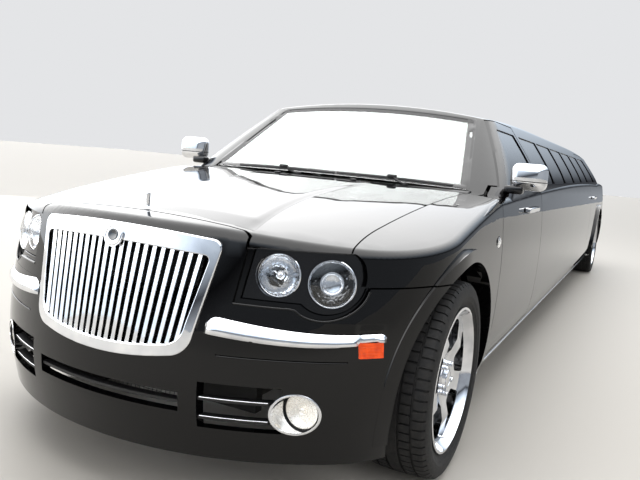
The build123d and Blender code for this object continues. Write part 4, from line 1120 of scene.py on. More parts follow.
def startPad(name, width, depth, height, edge):
    # a block with crowned faces, slightly smaller than the finished pad
    inset = padSettings["inset"]
    far = (width / 2 - inset, depth - inset, height - inset)
    pad = softenedBox(name, (-width / 2 + inset, inset, inset), far, edge)
    editAll(pad)
    bpy.ops.mesh.subdivide(number_cuts=2, smoothness=0)
    endEdit()
    return pad


def swellPads(pads):
    # cloth with air in it, all pads at once
    scene = bpy.context.scene
    before = []
    for pad in pads:
        modified(pad, "REMESH", {"mode": "VOXEL", "voxel_size": padSettings["voxel"]})
        before.append([vertex.co.copy() for vertex in pad.data.vertices])
        cloth = pad.modifiers.new("Cloth", "CLOTH")
        for name, value in clothSettings.items():
            setattr(cloth.settings, name, value)
        cloth.settings.effector_weights.gravity = 0
        cloth.point_cache.frame_start = 1
        cloth.point_cache.frame_end = padSettings["frames"]
    for step in range(1, padSettings["frames"] + 1):
        scene.frame_set(step)
    for pad, places in zip(pads, before):
        pick(pad)
        bpy.ops.object.modifier_apply(modifier="Cloth")
        for vertex, place in zip(pad.data.vertices, places):
            move = vertex.co - place
            if move.length > padSettings["cap"]:
                vertex.co = place + move * (padSettings["cap"] / move.length)
    scene.frame_set(1)


def sewChannels(pad, height, count, along):
    # pressed-in seams across a pad: vertices near each seam line sink a little
    if not count:
        return
    for vertex in pad.data.vertices:
        for step in range(1, count + 1):
            gap = abs((vertex.co.y if along == "Y" else vertex.co.z) - height * step / (count + 1))
            if gap < padSettings["seamHalf"]:
                sink = padSettings["seamDepth"] * (1 - (gap / padSettings["seamHalf"]) ** 2)
                vertex.co -= vertex.normal * sink


def makePads():
    pads = {}
    for name, width, depth, height, edge, channels in padTable:
        pads[name] = startPad(name, width, depth, height, edge)
    swellPads(list(pads.values()))
    for name, width, depth, height, edge, channels in padTable:
        pad = pads[name]
        flat = name in ("cushionPad", "benchPad", "rearPad")
        modified(pad, "SUBSURF", {"levels": 1, "render_levels": 1})
        sewChannels(pad, depth if flat else height, channels, "Y" if flat else "Z")
        smooth(pad, 60)
    return pads


def placePad(pads, source, name, matrix):
    pad = turnedCopy(pads[source], matrix, name)
    dress(pad, "leather")
    return pad


def leaning(x, distance, height, degrees=0):
    # a place on the car, leaning backwards by an angle
    return Matrix.Translation((x, behind(distance), height)) @ Matrix.Rotation(-radians(degrees), 4, "X")


seatX = {"Left": 0.370, "Right": -0.370}
# pads of a front seat: pad, name, sideways from its middle, mm behind the nose, height, lean
frontSeatPads = [
    ("cushionPad", "seatCushion", 0.0, 2245, 0.350, 0),
    ("backPad", "seatBack", 0.0, 2672, 0.478, 15),
    ("headPad", "seatHead", 0.0, 2818, 1.000, 10),
    ("cushionBolster", "seatBolsterOuter", 0.200, 2236, 0.336, 0),
    ("backBolster", "backBolsterOuter", 0.200, 2660, 0.470, 15),
    ("cushionBolster", "seatBolsterInner", -0.200, 2236, 0.336, 0),
    ("backBolster", "backBolsterInner", -0.200, 2660, 0.470, 15),
]
bench = {"start": 3321, "pitch": 468, "seats": 6, "seatX": -0.505, "backX": -0.738}
rearX = (-0.464, 0.0, 0.464)
seatHeight = {"bench": 0.332, "benchBack": 0.505, "rear": 0.332, "rearBack": 0.470}


def makeSeatFrame(sideName, x):
    # base, shell of the back and the head rest's two posts
    base = carBox("seatBase", (x - 0.19, 2275, 0.281), (x + 0.19, 2685, 0.345), 0.012, 2)
    shell = softenedBox("seatShell", (x - 0.22, 0.086, 0.02), (x + 0.22, 0.098, 0.52), 0.005, 2)
    shell.data.transform(leaning(x, 2668, 0.470, 15) @ Matrix.Translation((-x, 0, 0)))
    posts = []
    for offset in (-0.05, 0.05):
        post = spun("post", [(0.46, 0.0), (0.46, 0.006), (0.60, 0.006), (0.60, 0.0)], 16)
        post.data.transform(leaning(x + offset, 2672, 0.470, 14) @ Matrix.Translation((0, 0.045, 0)))
        posts.append(post)
    assembled("seatFrame" + sideName, [base, shell] + posts, "trim")


def furnishSeats():
    pads = makePads()
    for sideName, x in seatX.items():
        for source, name, sideways, distance, height, lean in frontSeatPads:
            place = leaning(x + sideways, distance, height, lean)
            placePad(pads, source, name + sideName, place)
        makeSeatFrame(sideName, x)
    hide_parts("front_seats")
    for number in range(bench["seats"]):
        distance = bench["start"] + number * bench["pitch"]
        place = leaning(bench["seatX"], distance, seatHeight["bench"])
        placePad(pads, "benchPad", "benchSeat" + str(number), place)
        place = leaning(bench["backX"], distance, seatHeight["benchBack"])
        placePad(pads, "benchBackPad", "benchBack" + str(number), place)
    for number, x in enumerate(rearX):
        placePad(pads, "rearPad", "rearSeat" + str(number), leaning(x, 6345, seatHeight["rear"]))
        place = leaning(x, 6812, seatHeight["rearBack"], 13.5)
        placePad(pads, "rearBackPad", "rearBack" + str(number), place)
    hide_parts("lounge_seats")
    shelf = softenedBox("rearShell", (-0.69, 0.088, 0.0), (0.69, 0.098, 0.58), 0.004, 2)
    shelf.data.transform(leaning(0, 6812, 0.465, 13.5))
    plinths = [
        carBox("benchPlinth", (-0.755, 3304, 0.281), (-0.300, 6116, 0.336), 0.008, 2),
        carBox("benchWall", (-0.796, 3304, 0.336), (-0.776, 6116, 0.932), 0.006, 2),
        carBox("rearPlinth", (-0.69, 6350, 0.281), (0.69, 6900, 0.336), 0.008, 2),
    ]
    assembled("loungePlinth", plinths + [shelf], "trim")
    discard(pads.values())


furnishSeats()
print("seats furnished")

# Driver's place

wheelSpot = {"x": -0.370, "behind": 1985, "height": 0.905, "tilt": 24, "radius": 0.1745, "rim": 0.0128}


def wheelMatrix():
    lean = radians(wheelSpot["tilt"])
    place = (wheelSpot["x"], behind(wheelSpot["behind"]), wheelSpot["height"])
    return facingMatrix(place, (0, cos(lean), sin(lean)), (-1, 0, 0))


def makeSteeringWheel():
    # round rim, four spokes, airbag pad with a bright ring, and two bright accents
    matrix = wheelMatrix()
    steps = [2 * pi * i / 14 for i in range(15)]
    section = [(wheelSpot["rim"] * sin(a), wheelSpot["radius"] + wheelSpot["rim"] * cos(a)) for a in steps]
    rimRing = spun("rimRing", section, 72)
    spokes = []
    for angle in (12, 168, 250, 290):
        spoke = softenedBox("spoke", (0.045, -0.016, -0.007), (0.168, 0.016, 0.003), 0.0035, 2)
        spoke.data.transform(Matrix.Rotation(radians(angle), 4, "Z"))
        spokes.append(spoke)
    pad = spun(
        "airbag",
        [
            (-0.010, 0.0), (-0.010, 0.058), (-0.004, 0.062), (0.006, 0.060), (0.012, 0.050),
            (0.016, 0.030), (0.017, 0.0),
        ],
        48,
    )
    wheel = joined("driverWheel", [rimRing] + spokes + [pad])
    wheel.data.transform(matrix)
    dress(smooth(wheel), "leather", "steering_wheel")
    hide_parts("steering_wheel")
    accents = []
    for angle in (12, 168):
        accent = softenedBox("accent", (0.070, -0.011, 0.0025), (0.130, 0.011, 0.0055), 0.0012, 2)
        accent.data.transform(Matrix.Rotation(radians(angle), 4, "Z"))
        accents.append(accent)
    badge = spun("padRing", [(0.0165, 0.017), (0.0185, 0.016), (0.0185, 0.013), (0.0168, 0.012)], 40)
    bright = joined("driverWheelAccents", accents + [badge])
    bright.data.transform(matrix)
    dress(smooth(bright), "wheel", "steering_wheel")


def makeRound(name, profile, place, facing, across=(1, 0, 0), steps=40):
    # a turned piece set at a place, looking along facing
    piece = spun(name, profile, steps)
    piece.data.transform(facingMatrix(place, facing, across))
    return piece


def makeDashboard():
    # instrument hood, dials, vents, blank screen, wood strip, levers and pedals
    column = wheelSpot["x"]
    hood = carBox("instrumentHood", (column - 0.20, 1700, 0.955), (column + 0.20, 1838, 1.018), 0.022)
    brow = carBox("dashBrow", (-0.755, 1560, 0.978), (0.755, 1786, 1.004), 0.010)
    stack = carBox("centreStack", (-0.125, 1800, 0.560), (0.125, 1868, 0.925), 0.014)
    stalks = []
    for side in (1, -1):
        stalk = softenedBox("stalk", (0.0, -0.006, -0.008), (0.105, 0.006, 0.006), 0.004, 2)
        if side < 0:
            stalk.data.transform(Matrix.Rotation(pi, 4, "Z"))
        stalk.data.transform(wheelMatrix() @ Matrix.Translation((side * 0.040, 0.022, -0.050)))
        stalks.append(stalk)
    console = carBox("console", (-0.112, 1860, 0.281), (0.112, 2200, 0.500), 0.020)
    assembled("dashPanels", [hood, brow, stack, console] + stalks, "trim")
    strips = [
        carBox("strip", (-0.76, 1828, 0.842), (-0.60, 1846, 0.872), 0.004, 2),
        carBox("strip", (0.16, 1828, 0.842), (0.76, 1846, 0.872), 0.004, 2),
        carBox("strip", (-0.09, 1900, 0.498), (0.09, 2170, 0.504), 0.003, 2),
    ]
    assembled("dashVeneer", strips, "wood")
    dialProfile = [(-0.006, 0.047), (0.004, 0.047), (0.006, 0.044), (0.003, 0.041), (-0.002, 0.040)]
    dials, faces = [], []
    lean = (0, cos(0.35), sin(0.35))
    for offset, scale in ((-0.105, 1.0), (0.0, 0.86), (0.105, 1.0)):
        profile = [(a, b * scale) for a, b in dialProfile]
        place = (column + offset, behind(1842), 0.965)
        dials.append(makeRound("dialRing", profile, place, lean))
        faces.append(
            makeRound(
                "dialFace",
                [(-0.0015, 0.040 * scale), (-0.0025, 0.012), (0.0015, 0.009), (0.0015, 0.0)],
                place,
                lean,
            )
        )
    vents = []
    for x in (-0.70, -0.075, 0.075, 0.70):
        place = (x, behind(1868 if abs(x) < 0.1 else 1846), 0.890)
        vents.append(
            makeRound(
                "ventRing",
                [(-0.010, 0.034), (0.004, 0.034), (0.006, 0.031), (0.003, 0.028), (-0.010, 0.028)],
                place,
                (0, 1, 0),
            )
        )
        for bar in (-0.014, 0.0, 0.014):
            low = (x - 0.027, place[1] - 0.004, 0.890 + bar - 0.0015)
            faces.append(
                softenedBox("vane", low, (x + 0.027, place[1] + 0.002, 0.890 + bar + 0.0015), 0.001, 1)
            )
    for x in (-0.060, 0.0, 0.060):
        place = (x, behind(1869), 0.640)
        vents.append(
            makeRound(
                "knob", [(-0.004, 0.019), (0.012, 0.017), (0.016, 0.014), (0.016, 0.0)], place, (0, 1, 0)
            )
        )
    faces.append(carBox("screen", (-0.095, 1866, 0.700), (0.095, 1874, 0.835), 0.003, 2))
    lever = [
        spun("leverRod", [(0.0, 0.0), (0.0, 0.024), (0.012, 0.022), (0.018, 0.008), (0.110, 0.007)], 24),
        spun(
            "leverKnob",
            [(0.105, 0.0), (0.105, 0.016), (0.125, 0.023), (0.155, 0.021), (0.168, 0.012), (0.170, 0.0)],
            24,
        ),
    ]
    for part in lever:
        part.data.transform(Matrix.Translation((0, behind(1960), 0.502)))
    assembled("dashRings", dials + vents + [lever[0]], "wheel")
    assembled("dashFaces", faces + [lever[1]], "gloss")
    pedals = [
        carBox("pedal", (column + x - w, 1660, 0.400), (column + x + w, 1672, 0.500), 0.004, 2)
        for x, w in ((-0.10, 0.045), (0.06, 0.028))
    ]
    arms = [
        carBox("pedalArm", (column + x - 0.006, 1636, 0.440), (column + x + 0.006, 1662, 0.720), 0.003, 2)
        for x in (-0.10, 0.06)
    ]
    assembled("pedals", pedals + arms, "plastic")


def makeMirrorInside():
    # rear-view mirror on its stalk, behind the windscreen
    y = castPoint(["windscreen"], (0, behind(2600), 1.355), (0, -1, 0)).y
    stalk = softenedBox("stalk", (-0.012, y + 0.004, 1.335), (0.012, y + 0.062, 1.357), 0.005)
    pod = softenedBox("mirrorPod", (-0.125, y + 0.055, 1.290), (0.125, y + 0.080, 1.352), 0.012, 4)
    assembled("cabinMirror", [stalk, pod], "plastic")
    glass = softenedBox(
        "cabinMirrorGlass", (-0.117, y + 0.0795, 1.298), (0.117, y + 0.0815, 1.344), 0.0009, 2
    )
    dress(smooth(glass), "reflector")


def makeLoungeFittings():
    # bar top, cupboard doors, rails, glasses and ice bucket, partition window, floor carpet
    top = carBox("barTop", (0.476, 3296, 0.799), (0.788, 5904, 0.822), 0.006, 2)
    doors = []
    for number in range(5):
        start = 3316 + number * 516
        doors.append(carBox("barDoor", (0.470, start, 0.320), (0.482, start + 496, 0.780), 0.004, 2))
    assembled("barWoodwork", [top] + doors, "wood")
    bright = []
    for number in range(5):
        middle = 3316 + number * 516 + 248
        bright.append(
            carBox("barHandle", (0.458, middle - 60, 0.735), (0.470, middle + 60, 0.747), 0.003, 2)
        )
    for y in (3700, 5500):
        bright.append(carBox("railPost", (0.500, y, 0.820), (0.510, y + 10, 0.880), 0.002, 1))
    bright.append(carBox("rail", (0.500, 3700, 0.876), (0.510, 5510, 0.886), 0.003, 2))
    assembled("barRails", bright, "chrome")
    glassProfile = [
        (0.0, 0.0), (0.001, 0.030), (0.004, 0.005), (0.070, 0.004), (0.085, 0.020), (0.150, 0.030),
        (0.150, 0.029), (0.086, 0.0185), (0.078, 0.0),
    ]
    glasses = []
    for number, y in enumerate((3880, 3980, 4080, 4180, 5020, 5120)):
        glass = spun("glass", glassProfile, 24, (0.640 + 0.03 * (number % 2), behind(y), 0.8225))
        glasses.append(glass)
    assembled("barGlasses", glasses, "clear", angle=50)
    bucket = spun(
        "iceBucket",
        [
            (0.0, 0.0), (0.0, 0.070), (0.006, 0.074), (0.150, 0.090), (0.156, 0.092), (0.156, 0.087),
            (0.010, 0.069), (0.008, 0.0),
        ],
        40,
        (0.640, behind(4500), 0.8225),
    )
    dress(smooth(bucket), "wheel")
    pane = carBox("partitionPane", (-0.448, 3014, 1.082), (0.448, 3020, 1.338), 0.002, 1)
    dress(smooth(pane), "tint")
    pane.visible_shadow = False
    bars = []
    for low, high in (
        ((-0.470, 1.060), (0.470, 1.082)),
        ((-0.470, 1.338), (0.470, 1.360)),
        ((-0.470, 1.080), (-0.448, 1.340)),
        ((0.448, 1.080), (0.470, 1.340)),
    ):
        bars.append(carBox("bar", (low[0], 2994, low[1]), (high[0], 3046, high[1]), 0.004, 2))
    assembled("partitionFrame", bars, "wood")
    mats = [
        carBox("mat", (-0.700, 1600, 0.2795), (-0.125, 2990, 0.2865), 0.003, 1),
        carBox("mat", (0.125, 1600, 0.2795), (0.700, 2990, 0.2865), 0.003, 1),
        carBox("mat", (-0.290, 3050, 0.2795), (0.470, 6320, 0.2865), 0.003, 1),
    ]
    assembled("floorCarpet", mats, "carpet")


makeSteeringWheel()
makeDashboard()
makeMirrorInside()
makeLoungeFittings()
print("cabin furnished")


# Edges and trims of the outside


def bevelEdges(obj, width, segments=2, angle=35, merge=2.0):
    # rounds the sharp edges of a skin after its flat faces are merged
    editAll(obj)
    bpy.ops.mesh.dissolve_limited(angle_limit=radians(merge))
    endEdit()
    return smooth(modified(obj, "BEVEL", roundedEdges(width, segments, angle)), 35)


edgeTable = [
    # node, width of the rounded edge in metres, segments
    ("grille_surround", 0.0035, 3),
    ("grille_slats", 0.0018, 2),
    ("fog_bezels", 0.0018, 2),
    ("marker_lamps", 0.0012, 2),
    ("lower_grilles", 0.0020, 2),
]
for node, width, segments in edgeTable:
    bevelEdges(skins[node], width, segments)


def laidGrid(name, rows):
    # a flat grid whose points are moved to the given places, row by row
    deselectAll()
    bpy.ops.mesh.primitive_grid_add(x_subdivisions=len(rows[0]) - 1, y_subdivisions=len(rows) - 1, size=1)
    sheet = bpy.context.object
    sheet.name = name
    for vertex in sheet.data.vertices:
        across = round((vertex.co.x + 0.5) * (len(rows[0]) - 1))
        along = round((vertex.co.y + 0.5) * (len(rows) - 1))
        vertex.co = rows[along][across]
    return sheet


def thickened(sheet, facing, thickness, edge):
    # turns a sheet's faces towards the viewer's side, gives it thickness and soft edges
    modified(faced(sheet, facing), "SOLIDIFY", {"thickness": thickness, "offset": -1})
    return smooth(modified(sheet, "BEVEL", roundedEdges(edge, 2, 50)))


def castPatch(name, names, rows, heading, lift, thickness, edge=0.0008):
    # a thin trim that lies on the skins: a grid of rays finds its places
    places = [
        [castPoint(names, origin, heading) - Vector(heading) * lift for origin in row]
        for row in rows
    ]
    return thickened(laidGrid(name, places), -Vector(heading), thickness, edge)


screenBand = {"inside": 0.030, "outside": 0.014, "lowInside": 0.016, "steps": 24}
# the windscreen narrows from its foot upwards, leans back and is bowed, in metres
screenForm = {
    "footHalf": 0.700,
    "narrowing": 0.128,
    "foot": 1.036,
    "rise": 0.356,
    "lowPlace": 1.352,
    "slope": 1.536,
    "low": 0.960,
    "bow": 5.4,
    "outBack": 0.546,
    "outUp": 0.838,
}


def screenHalf(height):
    # half width of the windscreen at a height
    share = (height - screenForm["foot"]) / screenForm["rise"]
    return screenForm["footHalf"] - screenForm["narrowing"] * share


def makeScreenBand():
    # black ceramic border and rubber round the windscreen
    names = ["windscreen", "greenhouse"]
    inside, outside = screenBand["inside"], screenBand["outside"]
    steps = screenBand["steps"]
    pieces = []
    for side in (1, -1):
        rows = []
        for k in range(steps + 1):
            height = 1.040 + 0.358 * k / steps
            edge = screenHalf(height)
            rows.append(
                [
                    (side * (edge + shift), rayStart["screen"], height)
                    for shift in (-inside, -inside / 2, 0, outside)
                ]
            )
        pieces.append(castPatch("sideBand", names, rows, (0, 1, 0), 0.0022, 0.003))
    for rise, half, base, bend, below, above in (
        ("low", 0.690, 1.051, 0.010, 0.0, screenBand["lowInside"]),
        ("high", 0.575, 1.423, 0.033, inside * 0.55, 0.006),
    ):
        rows = []
        for k in range(2 * steps + 1):
            x = -half + half * k / steps
            height = base - bend * (x / half) ** 2
            rows.append(
                [(x, rayStart["screen"], height + shift) for shift in (-below, (above - below) / 2, above)]
            )
        pieces.append(castPatch(rise + "Band", names, rows, (0, 1, 0), 0.0026, 0.003))
    dress(joined("screenBand", pieces), "gloss")


def glassPoint(x, height, lift):
    # a place in front of the windscreen; x, height and lift in metres
    form = screenForm
    distance = form["lowPlace"] + form["slope"] * (height - form["low"]) + x * x / form["bow"]
    return Vector((x, behind(1000 * (distance - form["outBack"] * lift)), height + form["outUp"] * lift))


wiperTable = [
    # foot, near end, far end of the blade (X) and the two heights on the glass
    (0.430, 0.640, 0.070, 1.046, 1.056),
    (-0.140, 0.060, -0.520, 1.054, 1.048),
]
wiper = {"stations": 24, "lip": 0.007, "spine": 0.009}


def makeWipers():
    # rubber lip, sprung spine with a clip, arm with a domed cap over its nut
    lips, frames = [], []
    for foot, near, far, nearHeight, farHeight in wiperTable:
        lipRows, spineRows = [], []
        for k in range(wiper["stations"] + 1):
            share = k / wiper["stations"]
            x = blend(near, far, share)
            height = blend(nearHeight, farHeight, share)
            lift = 0.003 + wiper["lip"]
            crown = lift + wiper["spine"] * (0.45 + 0.55 * sin(pi * share))
            lipRows.append([glassPoint(x, height - 0.001, 0.003), glassPoint(x, height - 0.001, lift)])
            spineRows.append([glassPoint(x, height - 0.006, lift), glassPoint(x, height - 0.001, crown)])
        lips.append(thickened(laidGrid("lip", lipRows), (0, -1, 0.2), 0.003, 0.0004))
        frames.append(thickened(laidGrid("spine", spineRows), (0, -1, 0.2), 0.010, 0.003))
        middle = (near + far) / 2
        middleHeight = (nearHeight + farHeight) / 2
        clip = glassPoint(middle, middleHeight, 0.019)
        frames.append(
            softenedBox(
                "clip", clip - Vector((0.022, 0.009, 0.008)), clip + Vector((0.022, 0.009, 0.008)), 0.004, 2
            )
        )
        root = Vector((foot, behind(1490), 1.034))
        bend = Vector((foot + (middle - foot) * 0.35, behind(1490), 1.042))
        frames.append(tube("arm", [root, bend, clip], 0.0055, 12))
        cap = [
            (-0.040, 0.0), (-0.040, 0.008), (-0.010, 0.010), (0.0, 0.013), (0.008, 0.011), (0.011, 0.006),
            (0.012, 0.0),
        ]
        frames.append(spun("armCap", cap, 24, root))
    lip = dress(joined("wiperLips", lips), "rubber")
    frame = assembled("wiperFrames", frames, "plastic")
    for piece in (lip, frame):
        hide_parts("wipers")


def tube(name, points, radius, steps=10):
    # a bent hose or cable through some places
    curve = bpy.data.curves.new(name, "CURVE")
    curve.dimensions = "3D"
    curve.bevel_depth = radius
    curve.bevel_resolution = 3
    curve.resolution_u = steps
    line = curve.splines.new("BEZIER")
    line.bezier_points.add(len(points) - 1)
    for spot, place in zip(line.bezier_points, points):
        spot.co = place
        spot.handle_left_type = "AUTO"
        spot.handle_right_type = "AUTO"
    obj = linked(name, curve)
    pick(obj)
    bpy.ops.object.convert(target="MESH")
    return smooth(bpy.context.object, 50)


noseCentre = (0.42, 0.950)
stripRun = {"start": -5.0, "end": 34.0, "stations": 44, "taper": 0.05, "drop": 0.016, "slimmer": 0.50}
# section of the bright strip: height and how far it stands off the bumper, in metres
stripSection = [
    (0.5850, 0.0012),
    (0.5868, 0.0110),
    (0.5925, 0.0150),
    (0.6000, 0.0170),
    (0.6080, 0.0165),
    (0.6160, 0.0142),
    (0.6240, 0.0104),
    (0.6325, 0.0056),
    (0.6400, 0.0012),
]


def noseRay(side, angle):
    # a place ahead of the bumper's corner and the heading back to it, seen from above
    turn = radians(angle)
    place = (side * (noseCentre[0] + 1.6 * sin(turn)), behind(1000 * (noseCentre[1] - 1.6 * cos(turn))))
    return place, Vector((-side * sin(turn), cos(turn), 0))


def makeFrontStrips():
    # bright strip with a sloping upper face that runs round each corner of the bumper
    low, high = stripSection[0][0] - 0.001, stripSection[-1][0] + 0.001
    for side, sideName in labelSides:
        rows, bedRows = [], []
        for k in range(stripRun["stations"] + 1):
            share = k / stripRun["stations"]
            angle = blend(stripRun["start"], stripRun["end"], share)
            place, heading = noseRay(side, angle)
            drop = stripRun["drop"] * sin(pi * share)
            below = castPoint(["front_bumper"], (*place, low - drop), heading)
            above = castPoint(["front_bumper"], (*place, high), heading)
            fade = min(1, share / stripRun["taper"], (1 - share) / stripRun["taper"]) ** 0.5
            slim = (1 - stripRun["slimmer"] * share) * (0.55 + 0.45 * fade)
            bedRows.append([below.lerp(above, part) - heading * 0.0005 for part in (0, 0.5, 1)])
            row = []
            for height, stand in stripSection:
                slimmed = low + (height - low) * slim - drop
                base = below.lerp(above, (slimmed + drop - low) / (high + drop - low))
                point = base - heading * (0.0006 + stand * fade)
                row.append(Vector((point.x, point.y, slimmed)))
            rows.append(row)
        strip = thickened(laidGrid("frontStrip" + sideName, rows), -noseRay(side, 0)[1], 0.0006, 0.0002)
        dress(strip, "chrome")
        bed = faced(laidGrid("stripBed" + sideName, bedRows), (0, -1, 0))
        dress(smooth(bed), "paint")
        for piece in (strip, bed):
            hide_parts("front_bright_strips")


def arcPlaces(first, middle, last, count):
    # places along the circle through three points
    (ax, ay), (bx, by), (cx, cy) = first, middle, last
    d = 2 * (ax * (by - cy) + bx * (cy - ay) + cx * (ay - by))
    a, b, c = ax * ax + ay * ay, bx * bx + by * by, cx * cx + cy * cy
    u = (a * (by - cy) + b * (cy - ay) + c * (ay - by)) / d
    v = (a * (cx - bx) + b * (ax - cx) + c * (bx - ax)) / d
    start = atan2(ay - v, ax - u)
    sweep = (atan2(cy - v, cx - u) - start) % (2 * pi)
    if (atan2(by - v, bx - u) - start) % (2 * pi) > sweep:
        sweep -= 2 * pi
    radius = hypot(ax - u, ay - v)
    return [
        (u + radius * cos(start + sweep * k / count), v + radius * sin(start + sweep * k / count))
        for k in range(count + 1)
    ]


ledgeStraight = [(0.409, 0.6790), (0.450, 0.6780), (0.500, 0.6766), (0.540, 0.6755)]
ledgeCorner = ((0.572, 0.6740), (0.664, 0.6470), (0.747, 0.7370))
grooveRun = {"from": 0.386, "to": 0.720, "height": 0.5222}
slatRun = {"from": 0.344, "to": 0.533, "heights": (0.3315, 0.3915)}
beadRadius = {"ledge": 0.0036, "groove": 0.0024, "slat": 0.0016}


def makeEdgeBeads():
    # rounded edges of the lamp ledge, the crease under the strip and the side intakes' slats
    ledge = ledgeStraight + arcPlaces(*ledgeCorner, 14)
    groove = [(blend(grooveRun["from"], grooveRun["to"], k / 12), grooveRun["height"]) for k in range(13)]
    painted, bright = [], []
    for side in (1, -1):
        for path, radius in ((ledge, beadRadius["ledge"]), (groove, beadRadius["groove"])):
            sunk = Vector((0, radius * 0.4, 0))
            points = []
            for x, z in path:
                points.append(
                    castPoint(["front_bumper"], (side * x, rayStart["nose"], z), (0, 1, 0)) + sunk
                )
            painted.append(tube("bead", points, radius, 2))
        for height in slatRun["heights"]:
            points = []
            for k in range(9):
                x = blend(slatRun["from"], slatRun["to"], k / 8)
                start = (side * x, rayStart["nose"], height - 0.004)
                found = castPoint(["lower_grilles"], start, (0, 1, 0))
                points.append(Vector((found.x, found.y + 0.0006, height)))
            bright.append(tube("bead", points, beadRadius["slat"], 2))
    assembled("bumperEdges", painted, "paint", angle=50)
    assembled("intakeEdges", bright, "chrome", angle=50)


hoodCrease = {
    "front": 0.205,
    "waist": 0.95,
    "rear": 1.390,
    "frontHalf": 0.392,
    "waistHalf": 0.268,
    "rearHalf": 0.300,
    "rows": 72,
    "rearRise": 0.6,
}
# section of the crease: distance outward from its line and rise over the hood, in metres
creaseSection = [
    (0.020, 0.0004),
    (0.014, 0.0011),
    (0.006, 0.0038),
    (-0.004, 0.0070),
    (-0.012, 0.0084),
    (-0.022, 0.0089),
    (-0.045, 0.0090),
    (-0.130, 0.0092),
]


def makeHoodCrease():
    # the raised middle of the hood, with a crease on each side that runs in towards the windscreen
    values = hoodCrease
    rows = []
    for k in range(values["rows"] + 1):
        distance = blend(values["front"], values["rear"], k / values["rows"])
        if distance < values["waist"]:
            share = (values["waist"] - distance) / (values["waist"] - values["front"])
            half = blend(values["waistHalf"], values["frontHalf"], share**1.8)
        else:
            share = (distance - values["waist"]) / (values["rear"] - values["waist"])
            half = blend(values["waistHalf"], values["rearHalf"], share**2)
        along = (distance - values["front"]) / (values["rear"] - values["front"])
        fade = min(1, along / 0.08, (1 - along) / 0.12) * (1 - (1 - values["rearRise"]) * along)
        right = [(-(half + out), rise) for out, rise in creaseSection]
        left = [(half + out, rise) for out, rise in reversed(creaseSection)]
        row = []
        for x, rise in right + [(0.0, creaseSection[-1][1])] + left:
            place = castPoint(["hood"], (x, behind(1000 * distance), rayStart["above"]), (0, 0, -1))
            row.append(place + Vector((0, 0, 0.0004 + max(0, rise - 0.0004) * fade)))
        rows.append(row)
    panel = faced(laidGrid("hoodCrease", rows), (0, 0, 1))
    dress(smooth(panel), "paint", "hood")


sillStrip = {"low": 0.2465, "high": 0.2680, "start": 1318, "end": 7002, "stations": 60}


def makeSillStrips():
    # bright strip along the lower edge of the body between the wheels
    for side, sideName in bodySides:
        names = ["body_side_" + sideName, "front_fender_" + sideName]
        rows = []
        for step in range(sillStrip["stations"] + 1):
            distance = blend(sillStrip["start"], sillStrip["end"], step / sillStrip["stations"])
            heights = [blend(sillStrip["low"], sillStrip["high"], k / 2) for k in range(3)]
            rows.append([(side * rayStart["side"], behind(distance), height) for height in heights])
        strip = castPatch("sillStrip" + sideName.capitalize(), names, rows, (-side, 0, 0), 0.0026, 0.0034)
        dress(strip, "chrome")


mirrorBox = ((0.866, 1655, 1.054), (1.0355, 1745, 1.182))
mirrorSplit = {"low": 1.0960, "high": 1.0995, "thickness": 0.0012}


def makeMirrors():
    # bright crowned housing with a dark split line, glass at the back and a black foot
    low, high = mirrorBox
    front, rear = behind(low[1]), behind(high[1])
    housing = softenedBox("mirrorHousing", (low[0], front, low[2]), (high[0], rear, high[2]), 0.036, 7)
    middle = Vector(((low[0] + high[0]) / 2, 0, (low[2] + high[2]) / 2))
    for vertex in housing.data.vertices:
        share = (rear - vertex.co.y) / (rear - front)
        squeeze = 1 - 0.12 * share * share
        vertex.co.x = middle.x + (vertex.co.x - middle.x) * squeeze
        vertex.co.z = middle.z + (vertex.co.z - middle.z) * squeeze
    smooth(housing, 50)
    band = turnedCopy(housing, upright, "band")
    pick(band)
    bpy.ops.object.mode_set(mode="EDIT")
    for height, clearInner in ((mirrorSplit["low"], True), (mirrorSplit["high"], False)):
        bpy.ops.mesh.select_all(action="SELECT")
        bpy.ops.mesh.bisect(
            plane_co=(0, 0, height), plane_no=(0, 0, 1), clear_inner=clearInner, clear_outer=not clearInner
        )
    bpy.ops.mesh.select_all(action="SELECT")
    endEdit()
    modified(band, "SOLIDIFY", {"thickness": mirrorSplit["thickness"], "offset": 0.4})
    foot = carBox("mirrorFoot", (0.851, 1662, 1.036), (0.935, 1712, 1.074), 0.010)
    rim = carBox("mirrorRim", (0.886, 1721, 1.076), (1.021, 1729, 1.158), 0.003, 2)
    dark = joined("mirrorDark", [band, foot, rim])
    glass = carBox("mirrorGlass", (0.890, 1726, 1.080), (1.017, 1730, 1.154), 0.0012, 2)
    for piece in (dark, glass):
        smooth(piece)
    for side, sideName in bodySides:
        for source, finishName, slotName in (
            (housing, "chrome", "bright_metal"),
            (dark, "gloss", "dark_plastic"),
            (glass, "reflector", "reflector"),
        ):
            piece = onSide(source, side, source.name + sideName.capitalize())
            dress(piece, finishName, "front_door_" + sideName)
        # the handle bar stays from the node, the plain mirror goes
        trim = skins["front_door_trim_" + sideName]
        pick(trim)
        for face in trim.data.polygons:
            face.select = face.center.z > 1.0
        bpy.ops.object.mode_set(mode="EDIT")
        bpy.ops.mesh.delete(type="FACE")
        endEdit()
        for end in ("front", "rear"):
            bevelEdges(skins[end + "_door_trim_" + sideName], 0.005, 3, 50)
    discard((housing, dark, glass))


def tailRows(acrosses, heights):
    # places behind the tail from which rays are cast, column by column
    return [[(x, rayStart["tail"], z) for z in heights] for x in acrosses]


